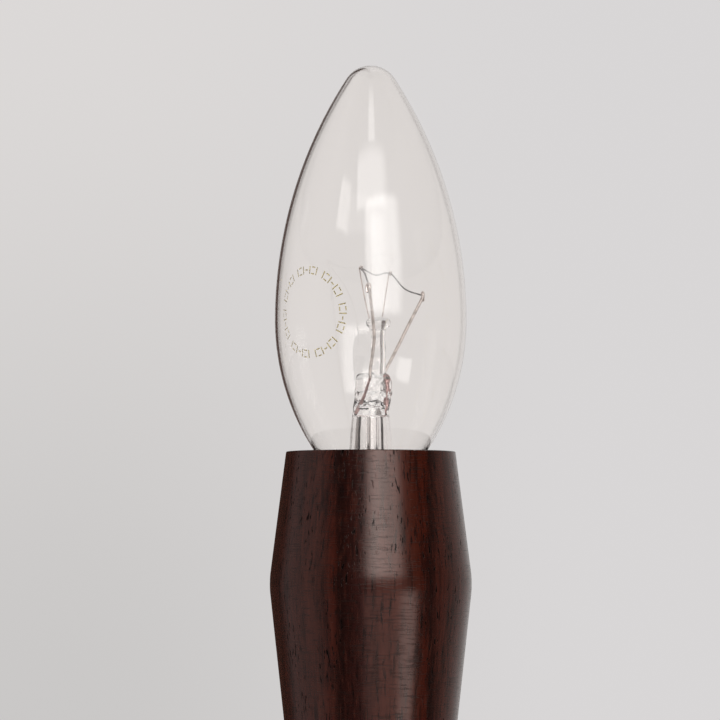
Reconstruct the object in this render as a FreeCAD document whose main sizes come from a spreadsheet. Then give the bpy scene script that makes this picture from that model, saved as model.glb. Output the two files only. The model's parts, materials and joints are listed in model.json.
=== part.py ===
import FreeCAD, Part
import math
import os

import Sketcher

# A small candle lamp: a turned rosewood stem and foot, a screw lampholder hidden in the stem, and a clear
# candle bulb. The lamp's axis is the Z axis, and the underside of its felt is at Z = 0. X points to the right
# and -Y to the front. The flex enters the foot at the back, at +Y. Millimetres.
#
# Every driving size is a cell of the "sizes" sheet. A Size carries the text of an expression together with its
# number, so one formula gives what a feature is bound to and what a swept shape is made with.

Vector = FreeCAD.Vector
doc = FreeCAD.newDocument("candle_lamp")
sheet = doc.addObject("Spreadsheet::Sheet", "sizes")

# ---------------------------------------------------------------- driving sizes

SIZES = {
    # foot, with its felt, its weight and the bush for the flex
    "felt_thickness": 1.5, "felt_inset": 1.0,
    "foot_diameter": 88.0, "foot_height": 16.0, "foot_edge_height": 11.5, "foot_edge_round": 2.5,
    "foot_seat_diameter": 24.0, "recess_diameter": 70.0, "recess_depth": 9.5,
    "flex_hole_diameter": 7.0, "flex_hole_height": 5.6,
    "bush_flange_diameter": 9.6, "bush_flange_thickness": 1.4, "bush_bore": 5.0, "bush_inset": 0.5,
    "bush_fit": 0.03,
    "weight_thickness": 6.0, "weight_hole_diameter": 27.0, "weight_gap": 1.0, "weight_slot_width": 9.0,
    "weight_screw_circle": 49.0, "weight_screw_diameter": 3.0, "weight_screw_length": 10.0,
    "weight_screw_head_diameter": 5.6, "weight_screw_head_height": 1.8,
    # threaded tube through the whole lamp, and its fasteners
    "rod_diameter": 10.0, "rod_bore": 7.6, "rod_gap": 0.2, "thread_fit": 0.03, "rod_end": 1.0,
    "nut_across_flats": 14.0, "nut_height": 4.0,
    "foot_washer_diameter": 24.0, "foot_washer_thickness": 1.5,
    "stem_washer_diameter": 20.0, "stem_washer_thickness": 1.0,
    # brass collar between foot and stem
    "collar_diameter": 15.2, "collar_height": 5.0, "collar_hollow": 1.1, "collar_lip": 0.9,
    # turned stem
    "stem_length": 118.0, "stem_end_diameter": 16.6, "belly_diameter": 37.2, "belly_depth": 24.0,
    "belly_round": 20.0, "mouth_diameter": 31.0, "mouth_round": 0.2, "edge_round": 0.5, "pocket_gap": 0.6,
    "seat_depth": 27.4,
    # lampholder, levels measured from the underside of the bulb's contact
    "holder_diameter": 22.4, "holder_above": 20.0, "holder_below": 25.0, "holder_nut_gap": 1.0,
    "mouth_gap": 0.7, "mouth_depth": 3.0, "ledge_thickness": 1.2, "ledge_gap": 0.1, "sleeve_gap": 0.3,
    "flange_level": 3.5, "flange_gap": 0.3,
    "block_diameter": 19.0, "block_gap": 0.1, "block_recess_diameter": 12.6, "block_floor_level": 3.0,
    "block_floor_thickness": 6.0, "spigot_diameter": 19.9, "spigot_gap": 0.05, "spigot_length": 4.9,
    "cap_wall": 3.0, "cap_cavity_diameter": 16.4, "cap_thread_length": 8.0, "boss_diameter": 14.6,
    "boss_length": 4.4, "dome_fullness": 2.0, "grub_diameter": 3.0, "grub_inset": 0.2,
    "grub_socket_depth": 1.0,
    "terminal_width": 4.4, "terminal_length": 6.6, "terminal_height": 3.2, "terminal_gap": 0.1,
    "terminal_offset": 5.2, "terminal_wire_hole": 2.2,
    "terminal_screw_diameter": 2.0, "terminal_screw_length": 1.0,
    "terminal_head_diameter": 3.8, "terminal_head_height": 1.3,
    "strip_thickness": 0.4, "strip_width": 3.0, "foot_strip_width": 4.0,
    "rivet_diameter": 1.6, "rivet_head_diameter": 2.8, "rivet_head_height": 0.5, "line_rivet_offset": 4.4,
    "fixing_rivet_offset": 1.9,
    "leaf_width": 3.6, "leaf_root_offset": 2.4, "leaf_root_lift": 0.1, "leaf_tip_offset": 0.9,
    "leaf_contact_gap": 0.06, "leaf_hook_length": 1.0, "leaf_hook_drop": 0.5,
    # Edison screw of 14 mm
    "screw_major": 13.89, "screw_minor": 12.29, "screw_pitch": 2.822, "screw_gap": 0.15, "sheet_metal": 0.3,
    # bulb, levels measured from the underside of its contact
    "bulb_diameter": 35.1, "bulb_length": 98.3, "bulb_belly_level": 51.5, "bulb_tip_radius": 5.3,
    "bulb_lower_radius": 43.5, "neck_curve_radius": 4.5, "glass_wall": 0.6, "seal_level": 18.3,
    "glass_end_level": 13.0,
    "cap_height": 23.0, "skirt_step": 0.41, "skirt_flare": 0.7, "cap_skirt_level": 18.5,
    "cap_thread_level": 6.5, "cap_end_thickness": 0.8, "cap_end_hole_diameter": 9.4, "cap_end_step": 0.29,
    "insulator_foot_diameter": 6.0, "insulator_gap": 0.1, "insulator_lip": 0.8,
    "insulator_hole_diameter": 2.0,
    "contact_height": 1.7, "contact_diameter": 5.4, "contact_flat_diameter": 3.0, "contact_shank": 1.3,
    "cement_thickness": 0.5, "cement_height": 1.6, "cement_gap": 0.02, "seal_gap": 0.35,
    "solder_diameter": 2.4, "solder_inset": 0.4, "solder_drop": 0.3,
    # the glass stem inside the bulb and its wires
    "flare_top_level": 35.2, "flare_top_diameter": 6.6, "flare_waist_level": 27.4,
    "flare_waist_diameter": 7.8, "flare_wall": 0.7, "flare_rim_height": 1.0,
    "press_height": 6.4, "press_width": 6.8, "press_thickness": 3.4, "press_offset": 0.4, "press_round": 1.1,
    "tube_diameter": 2.4, "tube_bore": 1.4, "tube_end_round": 0.96, "tube_end_level": 10.6,
    "tube_offset": 0.3,
    "arbor_diameter": 2.7, "arbor_length": 8.4, "arbor_offset": 1.4,
    "button_diameter": 4.6, "button_height": 2.0, "button_round": 0.9,
    "lead_diameter": 0.6, "outer_lead_diameter": 0.45, "outer_lead_offset": 2.1, "support_diameter": 0.22,
    "filament_diameter": 0.34,
}

for row, (alias, number) in enumerate(SIZES.items(), start=1):
    sheet.set(f"A{row}", alias)
    sheet.set(f"B{row}", str(number))
    sheet.setAlias(f"B{row}", alias)
doc.recompute()


class Size:
    """The text of an expression on the sheet's cells and its number, kept in step."""

    def __init__(self, text, value):
        self.text = text
        self.value = value

    @staticmethod
    def of(other):
        return other if isinstance(other, Size) else Size(repr(float(other)), float(other))

    def __add__(self, other):
        other = Size.of(other)
        return Size(f"({self.text} + {other.text})", self.value + other.value)

    def __sub__(self, other):
        other = Size.of(other)
        return Size(f"({self.text} - {other.text})", self.value - other.value)

    def __mul__(self, other):
        other = Size.of(other)
        return Size(f"({self.text} * {other.text})", self.value * other.value)

    def __truediv__(self, other):
        other = Size.of(other)
        return Size(f"({self.text} / {other.text})", self.value / other.value)

    def __neg__(self):
        return Size.of(0) - self

    def root(self):
        return Size(f"sqrt({self.text})", math.sqrt(self.value))


def size(alias):
    return Size(f"sizes.{alias}", float(sheet.get(alias)))


def half(alias):
    return size(alias) / 2


ZERO = Size.of(0)

# ---------------------------------------------------------------- levels above the floor

foot_bottom = size("felt_thickness")
foot_top = foot_bottom + size("foot_height")
recess_top = foot_bottom + size("recess_depth")
weight_bottom = recess_top - size("weight_thickness")
foot_nut_bottom = recess_top - size("foot_washer_thickness") - size("nut_height")
stem_bottom = foot_top + size("collar_height")
rim = stem_bottom + size("stem_length")
belly = rim - size("belly_depth")
seat = rim - size("seat_depth")  # the underside of the bulb's contact
holder_top = seat + size("holder_above")
holder_bottom = seat - size("holder_below")
pocket_floor = holder_bottom - size("holder_nut_gap") - size("nut_height") - size("stem_washer_thickness")
flange_bottom = seat + size("flange_level")
flange_top = flange_bottom + size("sheet_metal")
block_floor = seat - size("block_floor_level")
block_bottom = block_floor - size("block_floor_thickness")
sleeve_bottom = block_bottom - size("spigot_length")
ledge_top = holder_top - size("mouth_depth")
ledge_bottom = ledge_top - size("ledge_thickness")
cap_floor = holder_bottom + size("cap_thread_length")
terminal_top = block_bottom + size("terminal_height")
flex_hole_centre = foot_bottom + size("flex_hole_height")
cap_skirt_bottom = seat + size("cap_skirt_level")
cap_top = seat + size("cap_height")
cap_thread_bottom = seat + size("cap_thread_level")
cap_end = cap_thread_bottom - size("cap_end_thickness")
insulator_bottom = seat + size("contact_height")
insulator_top = cap_thread_bottom + size("insulator_lip")
glass_end = seat + size("glass_end_level")
press_bottom = seat + size("flare_top_level")
press_top = press_bottom + size("press_height")
arbor_top = press_top + size("arbor_length")

# ---------------------------------------------------------------- radii that several pieces share

foot_radius = half("foot_diameter")
bush_face = foot_radius - size("bush_inset")
recess_radius = half("recess_diameter")
weight_radius = recess_radius - size("weight_gap")
rod_hole = half("rod_diameter") + size("rod_gap")
rod_fit = half("rod_diameter") + size("thread_fit")
holder_radius = half("holder_diameter")
pocket_radius = holder_radius + size("pocket_gap")
block_radius = half("block_diameter")
flange_radius = block_radius - size("flange_gap")
screw_radius = (size("screw_major") + size("screw_minor")) / 4
screw_throw = (size("screw_major") - size("screw_minor")) / 4
shell_inner = screw_radius + size("screw_gap")
shell_outer = shell_inner + size("sheet_metal")
skirt_foot_radius = (size("screw_major") + size("skirt_step")) / 2
skirt_radius = skirt_foot_radius + size("skirt_flare") / 2
neck_radius = skirt_foot_radius - size("sheet_metal") - size("cement_thickness")
seal_radius = half("screw_minor") - size("sheet_metal") - size("seal_gap")
seal_bore = seal_radius - size("glass_wall")

# ---------------------------------------------------------------- helpers for bodies

parts = {}


def new_body(label):
    body = doc.addObject("PartDesign::Body", label)
    body.Label = label
    parts[label] = body
    return body


def bind(feature, **properties):
    for name, value in properties.items():
        feature.setExpression(name, Size.of(value).text)


def pin(sketch, geometry, end, across, up):
    """Holds one end of a sketch edge at its distances from the sketch's origin."""
    for kind, axis, value in (("DistanceX", -2, across), ("DistanceY", -1, up)):
        if abs(value.value) < 1e-9:
            sketch.addConstraint(Sketcher.Constraint("PointOnObject", geometry, end, axis))
        else:
            index = sketch.addConstraint(Sketcher.Constraint(kind, -1, 1, geometry, end, value.value))
            sketch.setExpression(f"Constraints[{index}]", value.text)


def arc_between(first, last, radius, side):
    """The short arc from first to last that bulges to the left or right of the way between them."""
    chord = last - first
    left = Vector(-chord.y, chord.x, 0).normalize()
    reach = math.sqrt(max(radius ** 2 - (chord.Length / 2) ** 2, 0.0))
    centre = (first + last) * 0.5 + left * (-reach if side == "left" else reach)
    ends = (last, first) if side == "left" else (first, last)
    angles = [math.atan2((point - centre).y, (point - centre).x) for point in ends]
    return Part.ArcOfCircle(Part.Circle(centre, Vector(0, 0, 1), radius), *angles)


def outline_sketch(body, name, outline):
    """A closed outline on the body's XZ plane. A point is (radius, height). A point that an arc leads to
    adds the arc's own radius and the side that it bulges to: (radius, height, arc radius, "left" or "right")."""
    sketch = body.newObject("Sketcher::SketchObject", name)
    plane = next(feature for feature in body.Origin.OriginFeatures if feature.Role == "XZ_Plane")
    sketch.AttachmentSupport = (plane, [""])
    sketch.MapMode = "FlatFace"
    ends = []
    for number, point in enumerate(outline):
        first = Vector(outline[number - 1][0].value, outline[number - 1][1].value, 0)
        last = Vector(point[0].value, point[1].value, 0)
        if len(point) == 2:
            geometry = sketch.addGeometry(Part.LineSegment(first, last), False)
            ends.append((geometry, 1, 2))
            continue
        radius, side = point[2:]
        geometry = sketch.addGeometry(arc_between(first, last, radius.value, side), False)
        ends.append((geometry, 2, 1) if side == "left" else (geometry, 1, 2))
        index = sketch.addConstraint(Sketcher.Constraint("Radius", geometry, radius.value))
        sketch.setExpression(f"Constraints[{index}]", radius.text)
    for number, point in enumerate(outline):
        geometry, _, end = ends[number]
        following, start, _ = ends[(number + 1) % len(outline)]
        sketch.addConstraint(Sketcher.Constraint("Coincident", geometry, end, following, start))
        pin(sketch, geometry, end, point[0], point[1])
    return sketch


def turn(body, kind, name, outline):
    """A Revolution or Groove of an outline about the lamp's axis."""
    sketch = outline_sketch(body, name + "_outline", outline)
    feature = body.newObject("PartDesign::" + kind, name)
    feature.Profile = sketch
    feature.ReferenceAxis = (sketch, ["V_Axis"])
    feature.Angle = 360.0
    return feature


def turned(label, outline):
    body = new_body(label)
    turn(body, "Revolution", label + "_turning", outline)
    return body


def ring(label, outer, inner, bottom, top):
    return turned(label, [(inner, bottom), (outer, bottom), (outer, top), (inner, top)])


def primitive(body, kind, name, at, rotation=None, **sizes):
    """One PartDesign primitive, such as SubtractiveCylinder, at a point and bound to its sizes."""
    feature = body.newObject("PartDesign::" + kind, name)
    if rotation:
        feature.Placement = FreeCAD.Placement(Vector(), rotation)
    for letter, value in zip("xyz", at):
        feature.setExpression(f"Placement.Base.{letter}", Size.of(value).text)
    bind(feature, **sizes)
    return feature


def centred_box(body, kind, name, centre, bottom, width, length, height):
    """A box that stands on a level, centred on the point (x, y)."""
    at = (Size.of(centre[0]) - width / 2, Size.of(centre[1]) - length / 2, bottom)
    return primitive(body, kind, name, at, Length=width, Width=length, Height=height)


FACING_FRONT = FreeCAD.Rotation(Vector(1, 0, 0), 90)


def round_edges(body, name, radius, wanted):
    """Fillets the edges of the body so far for which wanted(edge) is true."""
    doc.recompute()
    tip = body.Tip
    names = [f"Edge{number}" for number, edge in enumerate(tip.Shape.Edges, start=1) if wanted(edge)]
    if not names:
        raise ValueError(f"{body.Label}: {name} found no edge")
    fillet = body.newObject("PartDesign::Fillet", name)
    fillet.Base = (tip, names)
    bind(fillet, Radius=radius)
    return fillet


def circle_at(*places):
    """Picks the circular edges about the lamp's axis with one of the given (radius, height) pairs."""
    def wanted(edge):
        curve = edge.Curve
        return isinstance(curve, Part.Circle) and any(
            abs(curve.Radius - radius.value) < 1e-4 and abs(curve.Center.z - height.value) < 1e-4
            for radius, height in places)
    return wanted


# ---------------------------------------------------------------- helpers for shapes with no feature

def shape_part(label, shape):
    part = doc.addObject("Part::Feature", label)
    part.Label = label
    part.Shape = shape
    part.Placement = FreeCAD.Placement()
    parts[label] = part
    return part


def cone(bottom_radius, top_radius, bottom, top):
    if abs(bottom_radius.value - top_radius.value) < 1e-9:
        return Part.makeCylinder(bottom_radius.value, (top - bottom).value, Vector(0, 0, bottom.value))
    foot = Vector(0, 0, bottom.value)
    return Part.makeCone(bottom_radius.value, top_radius.value, (top - bottom).value, foot)


def screw(radius, bottom, top):
    """An Edison screw is a round bar whose centre winds about the axis: a circle carried along a slim helix
    without turning. Its winding depends only on the height above the seat, so cap and shell mesh."""
    pitch = size("screw_pitch").value
    throw = screw_throw.value
    helix = Part.makeHelix(pitch, (top - bottom).value, throw)
    circle = Part.Wire(Part.makeCircle(radius.value, Vector(throw, 0, 0), Vector(0, 0, 1)))
    sweep = Part.BRepOffsetAPI.MakePipeShell(helix)
    sweep.setTrihedronMode(Vector(), Vector(0, 0, 1))
    sweep.add(circle, False, False)
    sweep.build()
    sweep.makeSolid()
    bar = sweep.shape()
    bar.rotate(Vector(), Vector(0, 0, 1), 360.0 * (bottom - seat).value / pitch)
    bar.translate(Vector(0, 0, bottom.value))
    return bar


def point(x, y, height):
    """A point inside the bulb, at a height above the stem's rim."""
    return Vector(x, y, rim.value + height)


def wire_through(points, diameter, bend):
    """A round wire through points, its corners bent to a radius."""
    edges = []
    start = points[0]
    for corner, after in zip(points[1:-1], points[2:]):
        back = (start - corner).normalize()
        onward = (after - corner).normalize()
        half_angle = back.getAngle(onward) / 2
        reach = bend / math.tan(half_angle)
        middle = corner + (back + onward).normalize() * (bend / math.sin(half_angle) - bend)
        edges.append(Part.LineSegment(start, corner + back * reach).toShape())
        edges.append(Part.Arc(corner + back * reach, middle, corner + onward * reach).toShape())
        start = corner + onward * reach
    edges.append(Part.LineSegment(start, points[-1]).toShape())
    section = Part.Wire(Part.makeCircle(diameter.value / 2, points[0], points[1] - points[0]))
    return Part.Wire(edges).makePipeShell([section], True, False)


# ---------------------------------------------------------------- foot

def make_felt_pad():
    """A felt disc glued under the foot, a little smaller than it."""
    radius = foot_radius - size("felt_inset")
    turned("felt_pad", [(ZERO, ZERO), (radius, ZERO), (radius, foot_bottom), (ZERO, foot_bottom)])


def make_foot():
    """The turned foot: an upright edge, a cone up to the collar, a recess below, a hole for the flex."""
    shoulder = foot_bottom + size("foot_edge_height")
    body = turned("foot", [
        (rod_hole, foot_top), (rod_hole, recess_top), (recess_radius, recess_top),
        (recess_radius, foot_bottom),
        (foot_radius, foot_bottom), (foot_radius, shoulder), (half("foot_seat_diameter"), foot_top)])
    round_edges(body, "foot_edge", size("foot_edge_round"), circle_at((foot_radius, shoulder)))
    outside = foot_radius + 1
    primitive(body, "SubtractiveCylinder", "flex_hole", (0, outside, flex_hole_centre), FACING_FRONT,
              Radius=half("flex_hole_diameter"), Height=outside - recess_radius + 2)
    primitive(body, "SubtractiveCylinder", "bush_counterbore", (0, outside, flex_hole_centre), FACING_FRONT,
              Radius=half("bush_flange_diameter") + size("bush_fit"),
              Height=size("bush_flange_thickness") + size("bush_inset") + 1)


def make_cable_bush():
    """The flanged plastic bush at the back of the foot, where the flex enters."""
    body = new_body("cable_bush")
    depth = bush_face - recess_radius
    primitive(body, "AdditiveCylinder", "bush_flange", (0, bush_face, flex_hole_centre), FACING_FRONT,
              Radius=half("bush_flange_diameter"), Height=size("bush_flange_thickness"))
    primitive(body, "AdditiveCylinder", "bush_barrel", (0, bush_face, flex_hole_centre), FACING_FRONT,
              Radius=half("flex_hole_diameter") - size("bush_fit"), Height=depth)
    primitive(body, "SubtractiveCylinder", "bush_hole", (0, bush_face + 1, flex_hole_centre), FACING_FRONT,
              Radius=half("bush_bore"), Height=depth + 2)


WEIGHT_SCREW_ANGLES = (-30, -90, -150)


def weight_screw_place(angle):
    reach = half("weight_screw_circle")
    return reach * math.cos(math.radians(angle)), reach * math.sin(math.radians(angle))


def make_foot_weight():
    """A steel ring against the recess's ceiling, slotted for the flex and held by three screws."""
    body = ring("foot_weight", weight_radius, half("weight_hole_diameter"), weight_bottom, recess_top)
    slot = size("weight_slot_width")
    primitive(body, "SubtractiveBox", "flex_slot", (-slot / 2, 0, weight_bottom - 1),
              Length=slot, Width=weight_radius + 1, Height=size("weight_thickness") + 2)
    for number, angle in enumerate(WEIGHT_SCREW_ANGLES, start=1):
        x, y = weight_screw_place(angle)
        primitive(body, "SubtractiveCylinder", f"screw_hole_{number}", (x, y, weight_bottom - 1),
                  Radius=half("weight_screw_diameter"), Height=size("weight_thickness") + 2)
        primitive(body, "SubtractiveCylinder", f"head_recess_{number}", (x, y, weight_bottom - 1),
                  Radius=half("weight_screw_head_diameter"), Height=size("weight_screw_head_height") + 1)


def make_weight_pilots():
    """The holes in the foot that the weight's screws are driven into."""
    for number, angle in enumerate(WEIGHT_SCREW_ANGLES, start=1):
        primitive(parts["foot"], "SubtractiveCylinder", f"weight_pilot_{number}",
                  (*weight_screw_place(angle), weight_bottom),
                  Radius=half("weight_screw_diameter"), Height=size("weight_screw_length"))


def make_cylinder(name, x, y, bottom, radius, height):
    cylinder = doc.addObject("Part::Cylinder", name)
    bind(cylinder, Radius=radius, Height=height)
    for letter, value in zip("xyz", (x, y, bottom)):
        cylinder.setExpression(f"Placement.Base.{letter}", Size.of(value).text)
    return cylinder


def group(label, pieces):
    """Joins pairs of touching primitives into screws or rivets and gathers them under one label."""
    fuses = []
    for number, (first, second) in enumerate(zip(pieces[::2], pieces[1::2]), start=1):
        fuse = doc.addObject("Part::Fuse", f"{label}_{number}")
        fuse.Base = first
        fuse.Tool = second
        fuse.Refine = True
        fuses.append(fuse)
    gathered = doc.addObject("Part::Compound", label)
    gathered.Label = label
    gathered.Links = fuses
    parts[label] = gathered
    return gathered


def make_weight_screws():
    """Three wood screws that hold the weight, each a shank and a head."""
    pieces = []
    for number, angle in enumerate(WEIGHT_SCREW_ANGLES, start=1):
        x, y = weight_screw_place(angle)
        pieces.append(make_cylinder(f"weight_screw_shank_{number}", x, y, weight_bottom,
                                    half("weight_screw_diameter"), size("weight_screw_length")))
        pieces.append(make_cylinder(f"weight_screw_head_{number}", x, y, weight_bottom,
                                    half("weight_screw_head_diameter"), size("weight_screw_head_height")))
    group("weight_screws", pieces)


for make in (make_felt_pad, make_foot, make_cable_bush, make_foot_weight, make_weight_pilots,
             make_weight_screws):
    make()


# ---------------------------------------------------------------- rod, nuts, washers and collar

def make_threaded_rod():
    """The hollow tube that draws foot, collar and stem together. Its thread isn't modelled."""
    ring("threaded_rod", half("rod_diameter"), half("rod_bore"), foot_nut_bottom - size("rod_end"),
         cap_floor + size("rod_end"))


def make_hex_nut(label, bottom):
    """A hexagon nut on the rod, with the corners of both faces turned off."""
    body = new_body(label)
    top = bottom + size("nut_height")
    flat = half("nut_across_flats")
    corner = size("nut_across_flats") / Size.of(3).root()
    hexagon = primitive(body, "AdditivePrism", label + "_hexagon", (0, 0, bottom),
                        Circumradius=corner, Height=size("nut_height"))
    hexagon.Polygon = 6
    primitive(body, "SubtractiveCylinder", label + "_bore", (0, 0, bottom - 1),
              Radius=rod_fit, Height=size("nut_height") + 2)
    over = corner + 1
    drop = (over - flat) * 0.5
    turn(body, "Groove", label + "_top_bevel",
         [(flat, top), (over, top - drop), (over, top + 1), (flat, top + 1)])
    turn(body, "Groove", label + "_under_bevel",
         [(flat, bottom), (flat, bottom - 1), (over, bottom - 1), (over, bottom + drop)])


def make_brass_collar():
    """The turned brass collar: two lips with a hollow between them."""
    outer = half("collar_diameter")
    lip = size("collar_lip")
    low = foot_top + lip
    high = stem_bottom - lip
    half_span = (high - low) / 2
    hollow = size("collar_hollow")
    hollow_radius = (half_span * half_span + hollow * hollow) / (hollow * 2)
    turned("brass_collar", [
        (rod_hole, foot_top), (outer, foot_top), (outer, low), (outer, high, hollow_radius, "left"),
        (outer, stem_bottom), (rod_hole, stem_bottom)])


make_threaded_rod()
ring("foot_washer", half("foot_washer_diameter"), rod_hole,
     recess_top - size("foot_washer_thickness"), recess_top)
make_hex_nut("foot_nut", foot_nut_bottom)
make_brass_collar()


# ---------------------------------------------------------------- stem

def make_stem():
    """The turned stem: two straight tapers that meet in a rounded belly, and a pocket for the lampholder."""
    end_radius = half("stem_end_diameter")
    belly_radius = half("belly_diameter")
    mouth_radius = half("mouth_diameter")
    body = turned("stem", [
        (rod_hole, stem_bottom), (end_radius, stem_bottom), (belly_radius, belly), (mouth_radius, rim),
        (pocket_radius, rim), (pocket_radius, pocket_floor), (rod_hole, pocket_floor)])
    round_edges(body, "belly_curve", size("belly_round"), circle_at((belly_radius, belly)))
    round_edges(body, "mouth_edges", size("mouth_round"),
                circle_at((mouth_radius, rim), (pocket_radius, rim)))
    round_edges(body, "end_edge", size("edge_round"), circle_at((end_radius, stem_bottom)))


make_stem()
ring("stem_washer", half("stem_washer_diameter"), rod_hole,
     pocket_floor, pocket_floor + size("stem_washer_thickness"))
make_hex_nut("stem_nut", pocket_floor + size("stem_washer_thickness"))


# ---------------------------------------------------------------- lampholder

def make_holder_sleeve():
    """The plastic sleeve: a mouth for the bulb's skirt, a ledge over the shell, a bore for the block."""
    mouth = skirt_radius + size("mouth_gap")
    ledge = half("screw_major") + size("screw_gap") + size("ledge_gap")
    bore = shell_outer + screw_throw + size("sleeve_gap")
    block_bore = block_radius + size("block_gap")
    spigot_bore = half("spigot_diameter") + size("spigot_gap")
    body = turned("holder_sleeve", [
        (holder_radius, sleeve_bottom), (holder_radius, holder_top), (mouth, holder_top), (mouth, ledge_top),
        (ledge, ledge_top), (ledge, ledge_bottom), (bore, ledge_bottom), (bore, flange_top),
        (block_bore, flange_top), (block_bore, block_bottom), (spigot_bore, block_bottom),
        (spigot_bore, sleeve_bottom)])
    round_edges(body, "sleeve_mouth", size("edge_round"),
                circle_at((holder_radius, holder_top), (mouth, holder_top)))


def make_screw_shell():
    """The brass screw shell of the lampholder, with a flange that the block clamps."""
    outer = screw(shell_outer, flange_bottom, ledge_bottom)
    inner = screw(shell_inner, flange_bottom, ledge_bottom)
    flange = cone(flange_radius, flange_radius, flange_bottom, flange_top)
    shape_part("screw_shell", outer.fuse(flange).cut(inner))


def make_contact_block():
    """The ceramic block that carries the contacts: a recess above, two terminal pockets below."""
    body = turned("contact_block", [
        (ZERO, block_bottom), (block_radius, block_bottom), (block_radius, flange_bottom),
        (half("block_recess_diameter"), flange_bottom), (half("block_recess_diameter"), block_floor),
        (ZERO, block_floor)])
    gap = size("terminal_gap")
    for name, side in (("line", 1), ("neutral", -1)):
        centred_box(body, "SubtractiveBox", name + "_pocket", (size("terminal_offset") * side, 0),
                    block_bottom - 1, size("terminal_width") + gap * 2, size("terminal_length") + gap * 2,
                    size("terminal_height") + 1)
    for name, place in (("line", size("line_rivet_offset")), ("fixing", -size("fixing_rivet_offset"))):
        primitive(body, "SubtractiveCylinder", name + "_rivet_hole", (place, 0, block_bottom - 1),
                  Radius=half("rivet_diameter"), Height=size("block_floor_thickness") + 2)
    strip = size("strip_thickness")
    terminal_side = size("terminal_offset") + size("terminal_width") / 2
    primitive(body, "SubtractiveBox", "strip_slot",
              (-terminal_side - gap, -size("strip_width") / 2 - gap, terminal_top),
              Length=strip + gap * 2, Width=size("strip_width") + gap * 2,
              Height=flange_bottom - terminal_top + 1)
    primitive(body, "SubtractiveBox", "strip_seat",
              (-flange_radius, -size("strip_width") / 2 - gap, flange_bottom - strip),
              Length=flange_radius - terminal_side + strip, Width=size("strip_width") + gap * 2,
              Height=strip + 1)


def make_side_contact():
    """The strip that carries current from the shell's flange down to the neutral terminal."""
    body = new_body("side_contact")
    strip = size("strip_thickness")
    terminal_side = size("terminal_offset") + size("terminal_width") / 2
    reach = flange_radius - size("terminal_gap")
    width = size("strip_width")
    primitive(body, "AdditiveBox", "strip_leg", (-terminal_side, -width / 2, terminal_top),
              Length=strip, Width=width, Height=flange_bottom - terminal_top)
    primitive(body, "AdditiveBox", "strip_pad", (-reach, -width / 2, flange_bottom - strip),
              Length=reach - terminal_side + strip, Width=width, Height=strip)


def make_terminal(label, side):
    """A brass terminal with a hole for the wire and one for its screw."""
    body = new_body(label)
    x = size("terminal_offset") * side
    centred_box(body, "AdditiveBox", label + "_bar", (x, 0), block_bottom,
                size("terminal_width"), size("terminal_length"), size("terminal_height"))
    primitive(body, "SubtractiveCylinder", label + "_wire_hole",
              (x, half("terminal_length") + 1, terminal_top - half("terminal_height")), FACING_FRONT,
              Radius=half("terminal_wire_hole"), Height=size("terminal_length") + 2)
    primitive(body, "SubtractiveCylinder", label + "_screw_hole", (x, 0, block_bottom - 1),
              Radius=half("terminal_screw_diameter"), Height=size("terminal_screw_length") + 1)


def make_terminal_screws():
    """The two terminal screws, driven from below."""
    pieces = []
    head = size("terminal_head_height")
    for side in (1, -1):
        x = size("terminal_offset") * side
        pieces.append(make_cylinder(f"terminal_shank_{side + 2}", x, 0, block_bottom - head,
                                    half("terminal_screw_diameter"), head + size("terminal_screw_length")))
        pieces.append(make_cylinder(f"terminal_head_{side + 2}", x, 0, block_bottom - head,
                                    half("terminal_head_diameter"), head))
    group("terminal_screws", pieces)


def make_contact_foot():
    """The brass plate that the spring contact stands on, riveted to the floor of the block's recess."""
    body = new_body("contact_foot")
    head = half("rivet_head_diameter")
    left = size("fixing_rivet_offset") + head
    length = left + size("line_rivet_offset") + head
    width = size("foot_strip_width")
    primitive(body, "AdditiveBox", "plate", (-left, -width / 2, block_floor),
              Length=length, Width=width, Height=size("strip_thickness"))
    for name, place in (("line", size("line_rivet_offset")), ("fixing", -size("fixing_rivet_offset"))):
        primitive(body, "SubtractiveCylinder", f"plate_{name}_hole", (place, 0, block_floor - 1),
                  Radius=half("rivet_diameter"), Height=size("strip_thickness") + 2)


def make_contact_rivets():
    """Two rivets: one down to the line terminal, one through the block."""
    head = size("rivet_head_height")
    head_bottom = block_floor + size("strip_thickness")
    pieces = []
    for name, place, foot in (("line", size("line_rivet_offset"), terminal_top),
                              ("fixing", -size("fixing_rivet_offset"), block_bottom)):
        pieces.append(make_cylinder(name + "_rivet_shank", place, 0, foot,
                                    half("rivet_diameter"), head_bottom - foot + head))
        pieces.append(make_cylinder(name + "_rivet_head", place, 0, head_bottom,
                                    half("rivet_head_diameter"), head))
    group("contact_rivets", pieces)


def make_centre_contact():
    """The springy leaf that rises from its root to the bulb's contact and bends down at its tip."""
    root_x = size("leaf_root_offset")
    thick = size("strip_thickness")
    root_z = block_floor + thick + size("leaf_root_lift")
    top_z = seat - size("leaf_contact_gap")
    tip = size("leaf_tip_offset")
    hook_x = -tip - size("leaf_hook_length")
    hook_z = top_z - size("leaf_hook_drop")
    body = new_body("centre_contact")
    sketch = outline_sketch(body, "leaf_outline", [
        (root_x, root_z), (tip, top_z), (-tip, top_z), (hook_x, hook_z), (hook_x, hook_z - thick),
        (-tip, top_z - thick), (tip - thick / 2, top_z - thick), (root_x - thick, root_z)])
    pad = body.newObject("PartDesign::Pad", "leaf")
    pad.Profile = sketch
    bind(pad, Length=size("leaf_width"))
    pad.SideType = "Symmetric"


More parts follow.
